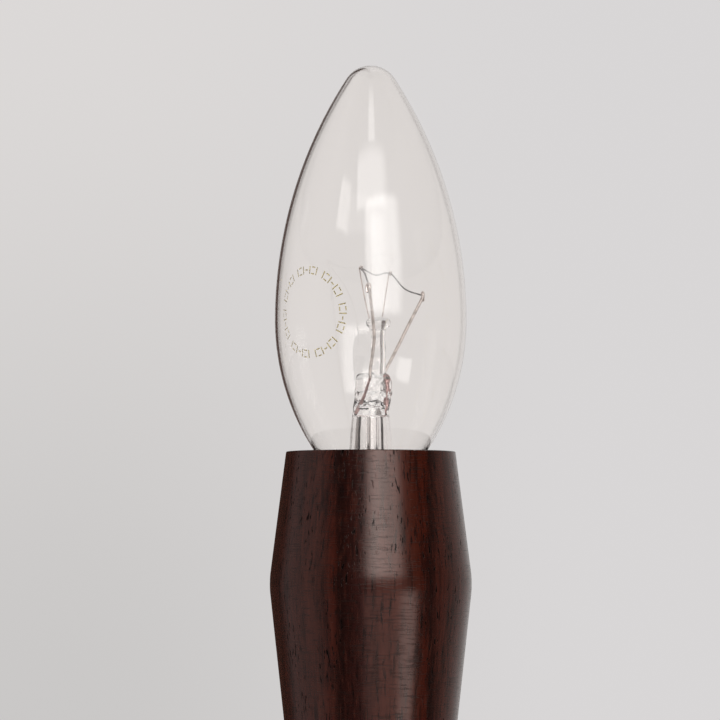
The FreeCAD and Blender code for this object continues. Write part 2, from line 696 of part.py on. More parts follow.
def make_holder_cap():
    """The plastic cap that closes the holder from below and screws onto the rod."""
    cavity = half("cap_cavity_diameter")
    boss = half("boss_diameter")
    boss_top = holder_bottom + size("boss_length")
    shoulder = sleeve_bottom - size("cap_wall")
    spigot = half("spigot_diameter")
    dome_radius = holder_radius - boss + size("dome_fullness")
    body = turned("holder_cap", [
        (rod_fit, holder_bottom), (boss, holder_bottom), (boss, boss_top),
        (holder_radius, shoulder, dome_radius, "right"), (holder_radius, sleeve_bottom),
        (spigot, sleeve_bottom), (spigot, block_bottom), (cavity, block_bottom), (cavity, cap_floor),
        (rod_fit, cap_floor)])
    primitive(body, "SubtractiveCylinder", "grub_hole",
              (0, -rod_fit + 1, holder_bottom + half("boss_length")),
              FACING_FRONT, Radius=half("grub_diameter"), Height=boss - rod_fit + 2)


def make_grub_screw():
    """The grub screw in the cap's boss that locks it on the rod."""
    body = new_body("grub_screw")
    boss = half("boss_diameter")
    primitive(body, "AdditiveCylinder", "grub_shank", (0, -rod_fit, holder_bottom + half("boss_length")),
              FACING_FRONT, Radius=half("grub_diameter"), Height=boss - rod_fit - size("grub_inset"))
    depth = size("grub_socket_depth")
    hexagon = primitive(body, "SubtractivePrism", "grub_socket",
                        (0, depth - boss, holder_bottom + half("boss_length")),
                        FACING_FRONT, Circumradius=half("grub_diameter") / 2, Height=depth + 1)
    hexagon.Polygon = 6


make_holder_sleeve()
make_screw_shell()
make_contact_block()
make_side_contact()
make_terminal("line_terminal", 1)
make_terminal("neutral_terminal", -1)
make_terminal_screws()
make_contact_foot()
make_contact_rivets()
make_centre_contact()
make_holder_cap()
make_grub_screw()


# ---------------------------------------------------------------- bulb: glass

def towards(start, end, share):
    return start[0] + (end[0] - start[0]) * share, start[1] + (end[1] - start[1]) * share


def glass_wall_outline(inset):
    """The bulb's profile from the glass's end up to its tip: neck, reverse curve, lower arc, ogive and round
    tip, each tangent to the next. A positive inset gives the inner wall."""
    widest = half("bulb_diameter")
    lower = size("bulb_lower_radius")
    curve = size("neck_curve_radius")
    tip_radius = size("bulb_tip_radius")
    belly_level = seat + size("bulb_belly_level")
    tip = seat + size("bulb_length")
    rise = tip - tip_radius - belly_level
    ogive = (widest * widest + rise * rise - tip_radius * tip_radius) / ((widest - tip_radius) * 2)
    lower_centre = (widest - lower, belly_level)
    across = neck_radius + curve - lower_centre[0]
    neck_top = belly_level - ((lower + curve) * (lower + curve) - across * across).root()
    curve_centre = (neck_radius + curve, neck_top)
    lower_end = towards(lower_centre, curve_centre, (lower - inset) / (lower + curve))
    ogive_end = towards((widest - ogive, belly_level), (ZERO, tip - tip_radius),
                        (ogive - inset) / (ogive - tip_radius))
    return [
        (seal_radius - inset, glass_end), (seal_radius - inset, seat + size("seal_level")),
        (neck_radius - inset, neck_top), (*lower_end, curve + inset, "left"),
        (widest - inset, belly_level, lower - inset, "right"), (*ogive_end, ogive - inset, "right"),
        (ZERO, tip - inset, tip_radius - inset, "right")]


def make_glass_envelope():
    outer = glass_wall_outline(ZERO)
    inner = glass_wall_outline(size("glass_wall"))
    # The inner wall is followed back down, so each of its arcs moves to the point where it now ends.
    back = [inner[-1][:2]]
    for upper, lower in zip(inner[:0:-1], inner[-2::-1]):
        side = {"left": "right", "right": "left"}
        back.append(lower[:2] if len(upper) == 2 else (*lower[:2], upper[2], side[upper[3]]))
    turned("glass_envelope", outer + back)


def make_stem_flare():
    """The glass tube that the bulb's neck is sealed to: it widens downwards from the press to the seal."""
    wall = size("flare_wall")
    top = half("flare_top_diameter")
    waist = half("flare_waist_diameter")
    waist_level = seat + size("flare_waist_level")
    rim_top = glass_end + size("flare_rim_height")
    turned("stem_flare", [
        (seal_bore, glass_end), (seal_bore, rim_top), (waist, waist_level), (top, press_bottom),
        (top - wall, press_bottom), (waist - wall, waist_level), (seal_bore - wall, rim_top),
        (seal_bore - wall, glass_end)])


def make_glass_press():
    """The flattened lump of glass that the lead wires pass through."""
    body = new_body("glass_press")
    centred_box(body, "AdditiveBox", "press_block", (size("press_offset"), 0), press_bottom,
                size("press_width"), size("press_thickness"), size("press_height"))

    def upright(edge):
        return abs(edge.BoundBox.ZLength - size("press_height").value) < 1e-4
    round_edges(body, "press_sides", size("press_round"), upright)


def make_exhaust_tube():
    """The tube that the bulb was emptied through, melted shut at its lower end."""
    body = new_body("exhaust_tube")
    bottom = seat + size("tube_end_level")
    primitive(body, "AdditiveCylinder", "tube_wall", (size("tube_offset"), 0, bottom),
              Radius=half("tube_diameter"), Height=press_bottom - bottom)
    primitive(body, "SubtractiveCylinder", "tube_channel",
              (size("tube_offset"), 0, bottom + size("tube_bore")),
              Radius=half("tube_bore"), Height=press_bottom - bottom)

    def lowest(edge):
        return edge.BoundBox.ZMax < bottom.value + 1e-4
    round_edges(body, "tube_end", size("tube_end_round"), lowest)


def make_glass_arbor():
    """The glass rod on the press and the button at its top, which the support wires are set in."""
    body = new_body("glass_arbor")
    primitive(body, "AdditiveCylinder", "arbor_rod", (size("arbor_offset"), 0, press_top),
              Radius=half("arbor_diameter"), Height=size("arbor_length"))
    primitive(body, "AdditiveCylinder", "arbor_button", (size("arbor_offset"), 0, arbor_top),
              Radius=half("button_diameter"), Height=size("button_height"))

    def button_edge(edge):
        return (isinstance(edge.Curve, Part.Circle) and edge.BoundBox.ZMin > arbor_top.value - 1e-4
                and edge.Curve.Radius > half("arbor_diameter").value + 1e-4)
    round_edges(body, "button_edges", size("button_round"), button_edge)


make_glass_envelope()
make_stem_flare()
make_glass_press()
make_exhaust_tube()
make_glass_arbor()


# ---------------------------------------------------------------- bulb: cap

def make_cap_shell():
    """The brass screw cap: a skirt, a rolled thread and a turned-in end."""
    wall = size("sheet_metal")
    skirt = skirt_radius
    skirt_foot = skirt_foot_radius
    end_radius = half("screw_minor") - size("cap_end_step") / 2
    outer = screw(screw_radius, cap_thread_bottom, cap_skirt_bottom)
    outer = outer.fuse(cone(skirt_foot, skirt, cap_skirt_bottom - wall, cap_top))
    outer = outer.fuse(cone(end_radius, end_radius, cap_end, cap_thread_bottom + wall))
    inner = screw(screw_radius - wall, cap_thread_bottom, cap_skirt_bottom + wall)
    inner = inner.fuse(cone(skirt_foot - wall, skirt - wall, cap_skirt_bottom, cap_top + wall))
    hole = half("cap_end_hole_diameter")
    shape_part("cap_shell", outer.cut(inner).cut(cone(hole, hole, cap_end - wall, cap_thread_bottom + wall)))


def make_cap_insulator():
    """The black glass that fills the cap's end and carries the contact."""
    hole = half("insulator_hole_diameter")
    neck = half("cap_end_hole_diameter") - size("insulator_gap")
    lip = half("screw_minor") - size("sheet_metal") - size("insulator_gap")
    turned("cap_insulator", [
        (hole, insulator_bottom), (half("insulator_foot_diameter"), insulator_bottom), (neck, cap_end),
        (neck, cap_thread_bottom), (lip, cap_thread_bottom), (lip, insulator_top), (hole, insulator_top)])


def make_cap_contact():
    """The contact button of solder at the bottom of the cap, with a shank in the insulator's hole."""
    radius = half("contact_diameter")
    flat = half("contact_flat_diameter")
    shank = half("insulator_hole_diameter") - size("insulator_gap")
    round_radius = radius - flat
    turned("cap_contact", [
        (ZERO, seat), (flat, seat), (radius, seat + round_radius, round_radius, "right"),
        (radius, insulator_bottom),
        (shank, insulator_bottom), (shank, insulator_bottom + size("contact_shank")),
        (ZERO, insulator_bottom + size("contact_shank"))])


def make_basing_cement():
    """The ring of cement between the bulb's neck and the cap's skirt."""
    inner = neck_radius + size("cement_gap")
    outer = skirt_foot_radius - size("sheet_metal") - size("cement_gap")
    bottom = cap_skirt_bottom + size("cement_gap")
    ring("basing_cement", outer, inner, bottom, bottom + size("cement_height"))


def make_side_solder():
    """The dab of solder that holds the side lead to the cap's skirt: a ball with the skirt cut out of it."""
    ball = doc.addObject("Part::Sphere", "solder_ball")
    bind(ball, Radius=half("solder_diameter"))
    for letter, value in zip("xz", (-skirt_radius + size("solder_inset"),
                                    cap_top - half("solder_diameter") - size("solder_drop"))):
        ball.setExpression(f"Placement.Base.{letter}", value.text)
    skirt = doc.addObject("Part::Cone", "skirt_space")
    bind(skirt, Radius1=skirt_foot_radius, Radius2=skirt_radius,
         Height=cap_top - cap_skirt_bottom + size("sheet_metal"))
    skirt.setExpression("Placement.Base.z", (cap_skirt_bottom - size("sheet_metal")).text)
    dab = doc.addObject("Part::Cut", "side_solder")
    dab.Label = "side_solder"
    dab.Base = ball
    dab.Tool = skirt
    parts["side_solder"] = dab


make_cap_shell()
make_cap_insulator()
make_cap_contact()
make_basing_cement()
make_side_solder()



# ---------------------------------------------------------------- bulb: wires, heights above the stem's rim

press_top_height = (press_top - rim).value
press_bottom_height = (press_bottom - rim).value
button_height = (arbor_top + size("button_height") - rim).value
shank_height = (insulator_bottom + size("contact_shank") - rim).value
WIRE_BEND = 0.8
FILAMENT_BEND = 1.5


def make_lead_wires():
    """The two leads, each a stiff wire above the press and a thin one below it, down to the cap."""
    side = size("outer_lead_offset").value
    thick = size("lead_diameter")
    thin = size("outer_lead_diameter")
    seal_height = (glass_end - rim).value
    tube_end_height = (seat + size("tube_end_level") - rim).value
    left = wire_through([point(-0.1, -1.0, press_top_height), point(-0.1, -1.0, press_top_height + 1.2),
                         point(0.6, -2.2, 20.5), point(0.4, -3.6, 23.6), point(-0.4, -7.5, 30.1)],
                         thick, WIRE_BEND)
    left_below = wire_through([point(-side, 0, press_bottom_height), point(-side, 0, seal_height - 1),
                               point(-side - 2.5, 0, seal_height - 2.2)], thin, WIRE_BEND)
    right = wire_through([point(2.6, 1.3, press_top_height), point(2.6, 1.3, press_top_height + 1.0),
                          point(9.5, 1.0, 28.2)], thick, WIRE_BEND)
    right_below = wire_through([point(side, 0, press_bottom_height), point(side, 0, tube_end_height - 0.8),
                                point(0, 0, tube_end_height - 2.4), point(0, 0, shank_height + 0.05)],
                                thin, WIRE_BEND)
    shape_part("left_lead", Part.Compound([left, left_below]))
    shape_part("right_lead", Part.Compound([right, right_below]))


def make_support_wires():
    """Two fine wires that stand on the glass button and carry the filament."""
    thickness = size("support_diameter")
    first = wire_through([point(0.15, 0.3, button_height), point(0.15, 0.3, button_height + 0.6),
                          point(-2.3, 5.0, 33.4)], thickness, 0.4)
    second = wire_through([point(2.0, 0.4, button_height), point(2.0, 0.4, button_height + 0.6),
                           point(3.6, 6.8, 32.7)], thickness, 0.4)
    shape_part("support_wires", Part.Compound([first, second]))


def make_filament():
    """The coiled filament as a plain rod of the coil's outer diameter, hung from lead to lead."""
    shape_part("filament", wire_through([
        point(-0.45, -7.4, 30.6), point(-1.2, -1.2, 32.7), point(-1.8, 5.2, 34.0), point(0.9, 6.6, 32.9),
        point(3.6, 7.0, 33.1), point(6.4, 4.4, 29.9), point(9.45, 1.0, 28.7)],
        size("filament_diameter"), FILAMENT_BEND))


make_lead_wires()
make_support_wires()
make_filament()

# ---------------------------------------------------------------- checks and files

doc.recompute()
failed = [item.Name for item in doc.Objects if any(word in item.State for word in ("Invalid", "Error"))]
failed += [label for label, part in parts.items() if part.Shape.isNull() or not part.Shape.isValid()]
failed += [label for label, part in parts.items() if not part.Shape.Solids]
if failed:
    raise RuntimeError("not written, because these failed: " + ", ".join(failed))

os.makedirs("parts", exist_ok=True)
for label, part in parts.items():
    part.Shape.exportStep(f"parts/{label}.step")
    box = part.Shape.optimalBoundingBox()
    print(f"{label:18s} {len(part.Shape.Solids)} solids {part.Shape.Volume:10.2f} mm3"
          f"  z {box.ZMin:.2f} to {box.ZMax:.2f}")
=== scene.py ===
# %% [markdown]
# # A candle bulb lamp, dressed in its finishes
# The lamp is a clear candle-shaped bulb in a turned rosewood stem on a weighted rosewood foot. Its design,
# with every size and every moving part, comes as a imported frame. This lesson adds what the eye wants: blown
# glass with a real wall, a coiled filament, fused glass and bent wires inside it, and a finish for every
# surface.

# %% Load the frame
import json
import math
import random

import bpy
import bmesh
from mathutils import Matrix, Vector, noise


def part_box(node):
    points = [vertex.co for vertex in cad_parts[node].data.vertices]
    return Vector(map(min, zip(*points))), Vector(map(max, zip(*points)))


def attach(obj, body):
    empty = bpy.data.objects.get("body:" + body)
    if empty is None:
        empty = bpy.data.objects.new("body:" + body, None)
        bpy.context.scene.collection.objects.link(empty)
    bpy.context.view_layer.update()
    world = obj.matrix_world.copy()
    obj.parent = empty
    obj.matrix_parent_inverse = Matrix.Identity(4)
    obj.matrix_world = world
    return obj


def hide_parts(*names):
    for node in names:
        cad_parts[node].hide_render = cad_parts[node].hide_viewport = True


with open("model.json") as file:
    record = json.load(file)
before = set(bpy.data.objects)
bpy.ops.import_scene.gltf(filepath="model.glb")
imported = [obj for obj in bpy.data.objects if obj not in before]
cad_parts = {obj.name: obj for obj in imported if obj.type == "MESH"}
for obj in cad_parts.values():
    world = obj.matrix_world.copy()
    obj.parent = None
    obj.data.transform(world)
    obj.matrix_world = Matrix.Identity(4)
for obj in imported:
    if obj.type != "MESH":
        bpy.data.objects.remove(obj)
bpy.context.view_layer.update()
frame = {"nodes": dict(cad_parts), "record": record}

# %% [markdown]
# ## Where things are
# The frame is in metres, but glass and wire are easier to think of in millimetres. So the levels are read
# from the frame's own boxes, and a helper turns millimetres above the stem's mouth into a point. Everything
# inside the bulb is placed that way, and it stays right if the stem changes length.

# %% Levels and a millimetre helper
MM = 0.001
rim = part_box("stem")[1].z
glass_low, glass_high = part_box("glass_envelope")
press_low, press_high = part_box("glass_press")
arbor_low, arbor_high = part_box("glass_arbor")
flare_low, flare_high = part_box("stem_flare")
contact_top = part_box("cap_contact")[1].z


def at(x, y, height):
    """A point x and y millimetres from the axis and so many above the stem's mouth."""
    return Vector((x * MM, y * MM, rim + height * MM))


print("mouth at", round(rim, 4), "tip at", round(glass_high.z, 4))

# %% [markdown]
# ## Shader maths as Python
# A finish is easier to read as `dark * (1 - mask)` than as a row of boxes. `Signal` wraps one output
# socket, and each operator adds a Math node. Numbers on either side work, because the reflected forms are
# there too. Colours and vectors go through their own nodes instead, since a Math node would turn a colour
# grey.

# %% The Signal class
class Signal:
    """One output socket of a finish, with arithmetic."""

    def __init__(self, finish, socket):
        self.finish = finish
        self.socket = socket

    def _math(self, operation, first, second):
        return self.finish.node("ShaderNodeMath", {"operation": operation}, {0: first, 1: second})

    def __add__(self, other):
        return self._math("ADD", self, other)

    def __sub__(self, other):
        return self._math("SUBTRACT", self, other)

    def __mul__(self, other):
        return self._math("MULTIPLY", self, other)

    def __rsub__(self, other):
        return self._math("SUBTRACT", other, self)

    __radd__ = __add__
    __rmul__ = __mul__

    def between(self, low, high):
        """0 below low, 1 above high, and a smooth step in between."""
        return self.finish.node("ShaderNodeMapRange", {"interpolation_type": "SMOOTHSTEP"},
                                {"Value": self, "From Min": low, "From Max": high})


# %% [markdown]
# `Finish` owns a material's node tree. Its one method, `node`, makes any node from its type, its settings
# and its inputs, so that the tree is written top to bottom like a recipe. The short methods after it name
# the few steps that nearly every finish needs: a coordinate, a noise, a colour mix and a bump.

# %% The Finish class
class Finish:
    """A material, or the world, built from nodes."""

    def __init__(self, name, owner=None, shader="ShaderNodeBsdfPrincipled",
                 output="ShaderNodeOutputMaterial"):
        self.owner = owner or bpy.data.materials.new(name)
        self.owner.use_nodes = True
        self.tree = self.owner.node_tree
        self.tree.nodes.clear()
        self.shader = self.tree.nodes.new(shader)
        self.output = self.tree.nodes.new(output)
        self.tree.links.new(self.shader.outputs[0], self.output.inputs["Surface"])

    def feed(self, node, inputs):
        """Links each signal to its socket of the node, and sets each plain value."""
        for key, value in inputs.items():
            if isinstance(value, Signal):
                self.tree.links.new(value.socket, node.inputs[key])
            else:
                node.inputs[key].default_value = value

    def node(self, kind, settings=None, inputs=None, output=0):
        """Any node: its settings first, such as an operation or a ramp's stops, and then its sockets."""
        node = self.tree.nodes.new(kind)
        for name, value in (settings or {}).items():
            if name == "stops":
                self.set_stops(node.color_ramp, value)
            else:
                setattr(node, name, value)
        self.feed(node, inputs or {})
        return Signal(self, node.outputs[output])

    @staticmethod
    def set_stops(ramp, stops):
        while len(ramp.elements) < len(stops):
            ramp.elements.new(0.5)
        for element, (place, colour) in zip(ramp.elements, stops):
            element.position = place
            element.color = (*colour, 1.0)

    def surface(self, **inputs):
        """Sets or links the shader's own sockets: an underscore in a name stands for a space."""
        self.feed(self.shader, {name.replace("_", " "): value for name, value in inputs.items()})

    def place(self, stretch=(1, 1, 1), shift=(0, 0, 0)):
        """The point on the object, in metres, times a stretch along each axis."""
        point = self.node("ShaderNodeTexCoord", output="Object")
        return self.node("ShaderNodeMapping", inputs={"Vector": point, "Scale": stretch, "Location": shift})

    def noise(self, vector, scale, detail=3.0, roughness=0.5, distortion=0.0):
        return self.node("ShaderNodeTexNoise", None, {"Vector": vector, "Scale": scale, "Detail": detail,
                                                      "Roughness": roughness, "Distortion": distortion})

    def ramp(self, factor, *stops):
        return self.node("ShaderNodeValToRGB", {"stops": stops}, {"Fac": factor})

    def mix(self, factor, first, second):
        """A colour mix. A plain colour is given as three numbers."""
        wide = [value if isinstance(value, Signal) else (*value, 1.0) for value in (first, second)]
        return self.node("ShaderNodeMix", {"data_type": "RGBA"}, {"Factor": factor, 6: wide[0], 7: wide[1]},
                         output=2)

    def bump(self, height, depth, strength=1.0):
        """A relief whose height of 1 stands depth metres proud."""
        return self.node("ShaderNodeBump", None, {"Height": height, "Distance": depth, "Strength": strength})


print("shader helpers ready")

# %% [markdown]
# ## Rosewood
# The stem is dark rosewood turned on a lathe and left satin. Three things make it read as that wood: wide
# near-black and red-brown streaks that run up the stem, short open pores in line with them, and very fine
# rings round it from the tool. A plank texture wrapped round it would show a seam, so the figure is solid:
# noise in space, stretched along the grain, which the turned surface then cuts through.

# %% Rosewood finish
ALONG_STEM = (1, 1, 0.05)
ACROSS_FOOT = (1, 0.05, 1)
# Colours across the stem, in millimetres from its axis. Most are the wood's own near-black and red-brown
# streaks. The lighter tones at 0.8 and 5.0 mm add a painted highlight to the wood's colour, where the main
# highlight runs down the stem.
WOOD_BANDS_AND_HIGHLIGHT = [(-15.5, (0.050, 0.0125, 0.0090)), (-9.0, (0.054, 0.0135, 0.0090)), (-7.3, (0.062, 0.0105, 0.0055)),
          (-6.0, (0.016, 0.0034, 0.0024)), (-4.4, (0.028, 0.0050, 0.0034)), (-1.5, (0.040, 0.0095, 0.0075)),
          (0.8, (0.078, 0.0200, 0.0140)), (5.0, (0.088, 0.0230, 0.0150)), (7.6, (0.066, 0.0125, 0.0060)),
          (9.6, (0.058, 0.0082, 0.0034)), (10.9, (0.018, 0.0046, 0.0032)), (12.6, (0.056, 0.0125, 0.0080)),
          (16.5, (0.056, 0.0130, 0.0090))]


def rosewood(name, grain, layers):
    """Satin rosewood. The grain is the stretch of space that draws the streaks out along one axis. The layers
    are its growth rings: how far across the wood each one lies, in millimetres, and its colour; the lightest
    layers also carry a painted highlight. The rub is the mark of the lathe, fine lines round the wood."""
    wood = Finish(name)

    def drawn(scale, share=1.0, shift=(0, 0, 0), **settings):
        """Noise stretched along the grain, by more or less than the usual share."""
        stretch = [factor * share if factor < 1 else factor for factor in grain]
        return wood.noise(wood.place(stretch, shift), scale, **settings)

    wander = drawn(90, 0.5, detail=2.0) - 0.5
    streak = drawn(520, 0.8, (0.37, 0.11, 0.5), detail=4.0, roughness=0.65)
    fibre = drawn(1900, 0.6, (0.2, 0.7, 0.1), detail=3.0, roughness=0.6)
    cells = drawn(3100, 3.0, detail=1.0, roughness=0.4)
    crowd = drawn(160, 4.0, (0.9, 0.2, 0.4), detail=1.0)
    pores = cells.between(0.64, 0.69) * crowd.between(0.36, 0.56)
    scuffs = wood.noise(wood.place([0.07 if factor == 1 else 1 for factor in grain]), 4400, 2.0, 0.5)
    rub = scuffs.between(0.52, 0.66) * crowd.between(0.66, 0.44)

    across = wood.node("ShaderNodeSeparateXYZ", None, {0: wood.place()}, output=0)
    first, last = layers[0][0], layers[-1][0]
    share = ((across * 1000) + wander * 2.6 + (streak - 0.5) * 2.2 - first) * (1 / (last - first))
    # The layers' colours across the wood. The lightest, from 0.8 to 5.0 mm, are partly a painted highlight.
    body = wood.ramp(share, *[((place - first) / (last - first), colour) for place, colour in layers])
    streaked = wood.mix(streak.between(0.46, 0.66) * 0.62, body, (0.012, 0.0030, 0.0022))
    toned = wood.mix(fibre.between(0.50, 0.72) * 0.36, streaked, (0.105, 0.0260, 0.0150))
    dusky = wood.mix(fibre.between(0.30, 0.46), (0.010, 0.0030, 0.0025), toned)
    rubbed = wood.mix(rub * 0.55, dusky, (0.014, 0.0060, 0.0050))
    colour = wood.mix(pores * 0.9, rubbed, (0.0020, 0.0010, 0.0008))
    relief = fibre * 0.22 - rub * 0.22 - pores * 0.8
    gloss = 0.185 + pores * 0.35 + rub * 0.10 + fibre * 0.06
    wood.surface(Base_Color=colour, Roughness=gloss, Metallic=pores * 0.9,
                 Normal=wood.bump(relief, 0.00004, 0.7), IOR=1.57, Specular_Tint=(1.0, 0.80, 0.74, 1.0),
                 Coat_Weight=0.22, Coat_Roughness=0.20)
    return wood.owner


stem_wood = rosewood("stem_rosewood", ALONG_STEM, WOOD_BANDS_AND_HIGHLIGHT)
FOOT_SPREAD = 2.8
# The foot takes the same layers spread wider, with their painted highlight band.
FOOT_BANDS_AND_HIGHLIGHT = [(place * FOOT_SPREAD, colour) for place, colour in WOOD_BANDS_AND_HIGHLIGHT]
foot_wood = rosewood("foot_rosewood", ACROSS_FOOT, FOOT_BANDS_AND_HIGHLIGHT)
# The layers counted here include the painted highlight band.
print("rosewood: grain along the stem, and across the foot;", len(WOOD_BANDS_AND_HIGHLIGHT), "growth layers")

# %% [markdown]
# ## Metals
# Brass, zinc-plated steel, nickel wire, tungsten and solder differ in colour, in how sharply they reflect
# and in how evenly. One recipe serves them all: a metallic base, a mottled second tone, and a relief that
# is either turned rings, drawn lines or soft lumps.

# %% Metal finishes
def metal(name, colour, second, rough, mottle_scale, relief_scale, relief_depth, relief_stretch=(1, 1, 1)):
    """A metal of two tones. The relief's depth is in metres, and its stretch turns lumps into lines."""
    finish = Finish(name)
    mottle = finish.noise(finish.place(), mottle_scale, 4, 0.6)
    relief = finish.noise(finish.place(relief_stretch), relief_scale, 3, 0.6)
    finish.surface(Base_Color=finish.mix(mottle.between(0.38, 0.72), colour, second), Metallic=1.0,
                   Roughness=rough + mottle * 0.14 - 0.05, Normal=finish.bump(relief, relief_depth, 0.6))
    return finish.owner


RINGS = (0.02, 0.02, 1)
brass = metal("lacquered_brass", (0.83, 0.60, 0.30), (0.66, 0.43, 0.19), 0.20, 300, 5000, 0.00003, RINGS)
zinc = metal("zinc_plate", (0.62, 0.63, 0.62), (0.50, 0.51, 0.53), 0.34, 500, 2500, 0.00002)
nickel = metal("nickel_wire_finish", (0.74, 0.66, 0.62), (0.46, 0.41, 0.39), 0.33, 900, 3000, 0.00002)
tungsten = metal("tungsten_coil_finish", (0.52, 0.50, 0.50), (0.30, 0.29, 0.30), 0.38, 1800, 9000, 0.000004)
dumet = metal("copper_seal_wire", (0.66, 0.44, 0.42), (0.40, 0.25, 0.24), 0.40, 1500, 6000, 0.00001)
oxidised = metal("oxidised_copper_wire", (0.12, 0.105, 0.10), (0.05, 0.045, 0.045), 0.45, 1500, 6000, 0.00001)
solder = metal("tin_solder", (0.63, 0.63, 0.65), (0.42, 0.42, 0.45), 0.30, 700, 900, 0.00008)
print("metals:", brass.name, zinc.name, nickel.name, tungsten.name, dumet.name, solder.name)

# %% [markdown]
# ## Moulded, fired and felted stuffs
# Black phenolic plastic is dense and glossy with faint flow marks. The contact block is matt white
# steatite, the cap's end is black glass with a burnt rim, the cement between bulb and cap is sandy, and the
# pad under the foot is matted wool.

# %% Plastic, ceramic, black glass, cement and felt finishes
def mottled(name, colour, second, rough, scale, depth, **more):
    """A non-metal with two tones and a soft relief of the same noise."""
    finish = Finish(name)
    cloud = finish.noise(finish.place(), scale, 5, 0.6)
    grit = finish.noise(finish.place(), scale * 9, 2, 0.5)
    finish.surface(Base_Color=finish.mix(cloud.between(0.35, 0.70), colour, second),
                   Roughness=rough + grit * 0.12 - 0.06, Normal=finish.bump(grit + cloud, depth, 0.5), **more)
    return finish.owner


phenolic = mottled("black_phenolic_finish", (0.012, 0.010, 0.009), (0.024, 0.019, 0.016), 0.26, 260, 0.00001,
                   Coat_Weight=0.3, Coat_Roughness=0.12)
steatite = mottled("steatite_finish", (0.78, 0.76, 0.70), (0.68, 0.65, 0.58), 0.62, 500, 0.00002)
black_glass = mottled("black_glass_finish", (0.006, 0.006, 0.008), (0.020, 0.018, 0.022), 0.12, 700, 0.00003)
cement = mottled("cement_finish", (0.46, 0.38, 0.29), (0.30, 0.24, 0.18), 0.85, 1200, 0.00008)


def felt_finish():
    """Matted wool: two crossed layers of stretched fibre noise over a mottled green."""
    felt = Finish("wool_felt_finish")
    first = felt.noise(felt.place((1, 0.12, 1)), 2600, 3, 0.7, 1.5)
    second = felt.noise(felt.place((0.12, 1, 1)), 2600, 3, 0.7, 1.5)
    cloud = felt.noise(felt.place(), 120, 3)
    tone = felt.mix(cloud.between(0.3, 0.7), (0.020, 0.034, 0.026), (0.034, 0.052, 0.040))
    fibres = (first * second).between(0.12, 0.45)
    felt.surface(Base_Color=felt.mix(fibres * 0.5, tone, (0.085, 0.105, 0.090)), Roughness=0.95,
                 Normal=felt.bump(first + second, 0.0002, 0.8), Sheen_Weight=0.4, Sheen_Roughness=0.5)
    return felt.owner


felt = felt_finish()
print("stuffs:", phenolic.name, steatite.name, black_glass.name, cement.name, felt.name)

# %% [markdown]
# ## Clear glass
# Blown soda glass is nearly colourless. What shows it is its wall: light bends twice at each pass, most of
# all at the edge. So the shader stays plain, with a real refractive index, and the wall is real geometry. A
# very faint unevenness, as from blowing, makes long reflections waver a little. The print on the bulb is
# worn gold ink.

# %% Glass finishes
def clear_glass(name, waviness, wave_scale, tint=(1.0, 0.995, 0.990, 1.0)):
    """Glass whose surface waves by so many metres."""
    glass = Finish(name)
    waves = glass.noise(glass.place((1, 1, 0.35)), wave_scale, 1.0, 0.4)
    glass.surface(Base_Color=tint, Roughness=0.0, IOR=1.51, Transmission_Weight=1.0,
                  Normal=glass.bump(waves, waviness, 1.0))
    return glass.owner


blown_glass = clear_glass("blown_glass_finish", 0.00001, 90)
fused_glass = clear_glass("fused_glass_finish", 0.00006, 420, (0.985, 0.975, 0.970, 1.0))


def print_finish():
    """The worn gold print on the bulb: thin ink that noise has rubbed away in places."""
    ink = Finish("gold_print_finish")
    wear = ink.noise(ink.place(), 1400, 4, 0.6)
    tone = ink.mix(wear.between(0.35, 0.65), (1.0, 0.84, 0.26), (0.96, 0.80, 0.34))
    ink.surface(Base_Color=tone, Metallic=0.15, Roughness=0.42 + wear * 0.15,
                Alpha=wear.between(0.15, 0.38) * 0.95)
    return ink.owner


gold_print = print_finish()
print("glass:", blown_glass.name, fused_glass.name, gold_print.name)

# %% [markdown]
# ## Meshes of revolution
# Blown and turned things are round, so a profile of (radius, height) points spun about the lamp's axis
# makes most of them. A modifier could spin it too, but building the rings directly keeps the pole a single
# point, where glass would otherwise show a pinch.

# %% Mesh helpers: profiles and lathe
def arc(centre, radius, start, end, steps):
    """Points on a circle in the (radius, height) plane, from one angle to another in degrees."""
    angles = [math.radians(start + (end - start) * step / steps) for step in range(steps + 1)]
    return [(centre[0] + radius * math.cos(a), centre[1] + radius * math.sin(a)) for a in angles]


def new_piece(name, mesh, smooth_angle=40):
    """A scene object from a bmesh, shaded smooth but for edges sharper than the angle."""
    bmesh.ops.recalc_face_normals(mesh, faces=mesh.faces)
    data = bpy.data.meshes.new(name)
    mesh.to_mesh(data)
    mesh.free()
    data.shade_smooth()
    data.set_sharp_from_angle(angle=math.radians(smooth_angle))
    piece = bpy.data.objects.new(name, data)
    bpy.context.scene.collection.objects.link(piece)
    return piece


def lathe(mesh, outline, turns=144, closed=True):
    """Spins (radius, height) points, in metres, about the Z axis into a bmesh."""
    rings = []
    for radius, height in outline:
        if radius < 1e-7:
            rings.append([mesh.verts.new((0, 0, height))])
            continue
        angles = [2 * math.pi * turn / turns for turn in range(turns)]
        rings.append([mesh.verts.new((radius * math.cos(a), radius * math.sin(a), height)) for a in angles])
    pairs = list(zip(rings, rings[1:]))
    if closed:
        pairs.append((rings[-1], rings[0]))
    for lower, upper in pairs:
        for turn in range(turns):
            following = (turn + 1) % turns
            corners = [lower[turn % len(lower)], lower[following % len(lower)],
                       upper[following % len(upper)], upper[turn % len(upper)]]
            corners = list(dict.fromkeys(corners))
            if len(corners) > 2:
                mesh.faces.new(corners)
    return mesh


def dress(piece, body, slot, finish, *replaced):
    """Gives a piece its finish, its body and the nodes that it stands for. The slot is not used."""
    piece.data.materials.append(finish)
    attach(piece, body)
    if replaced:
        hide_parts(*replaced)
    print("made", piece.name, len(piece.data.polygons), "faces")


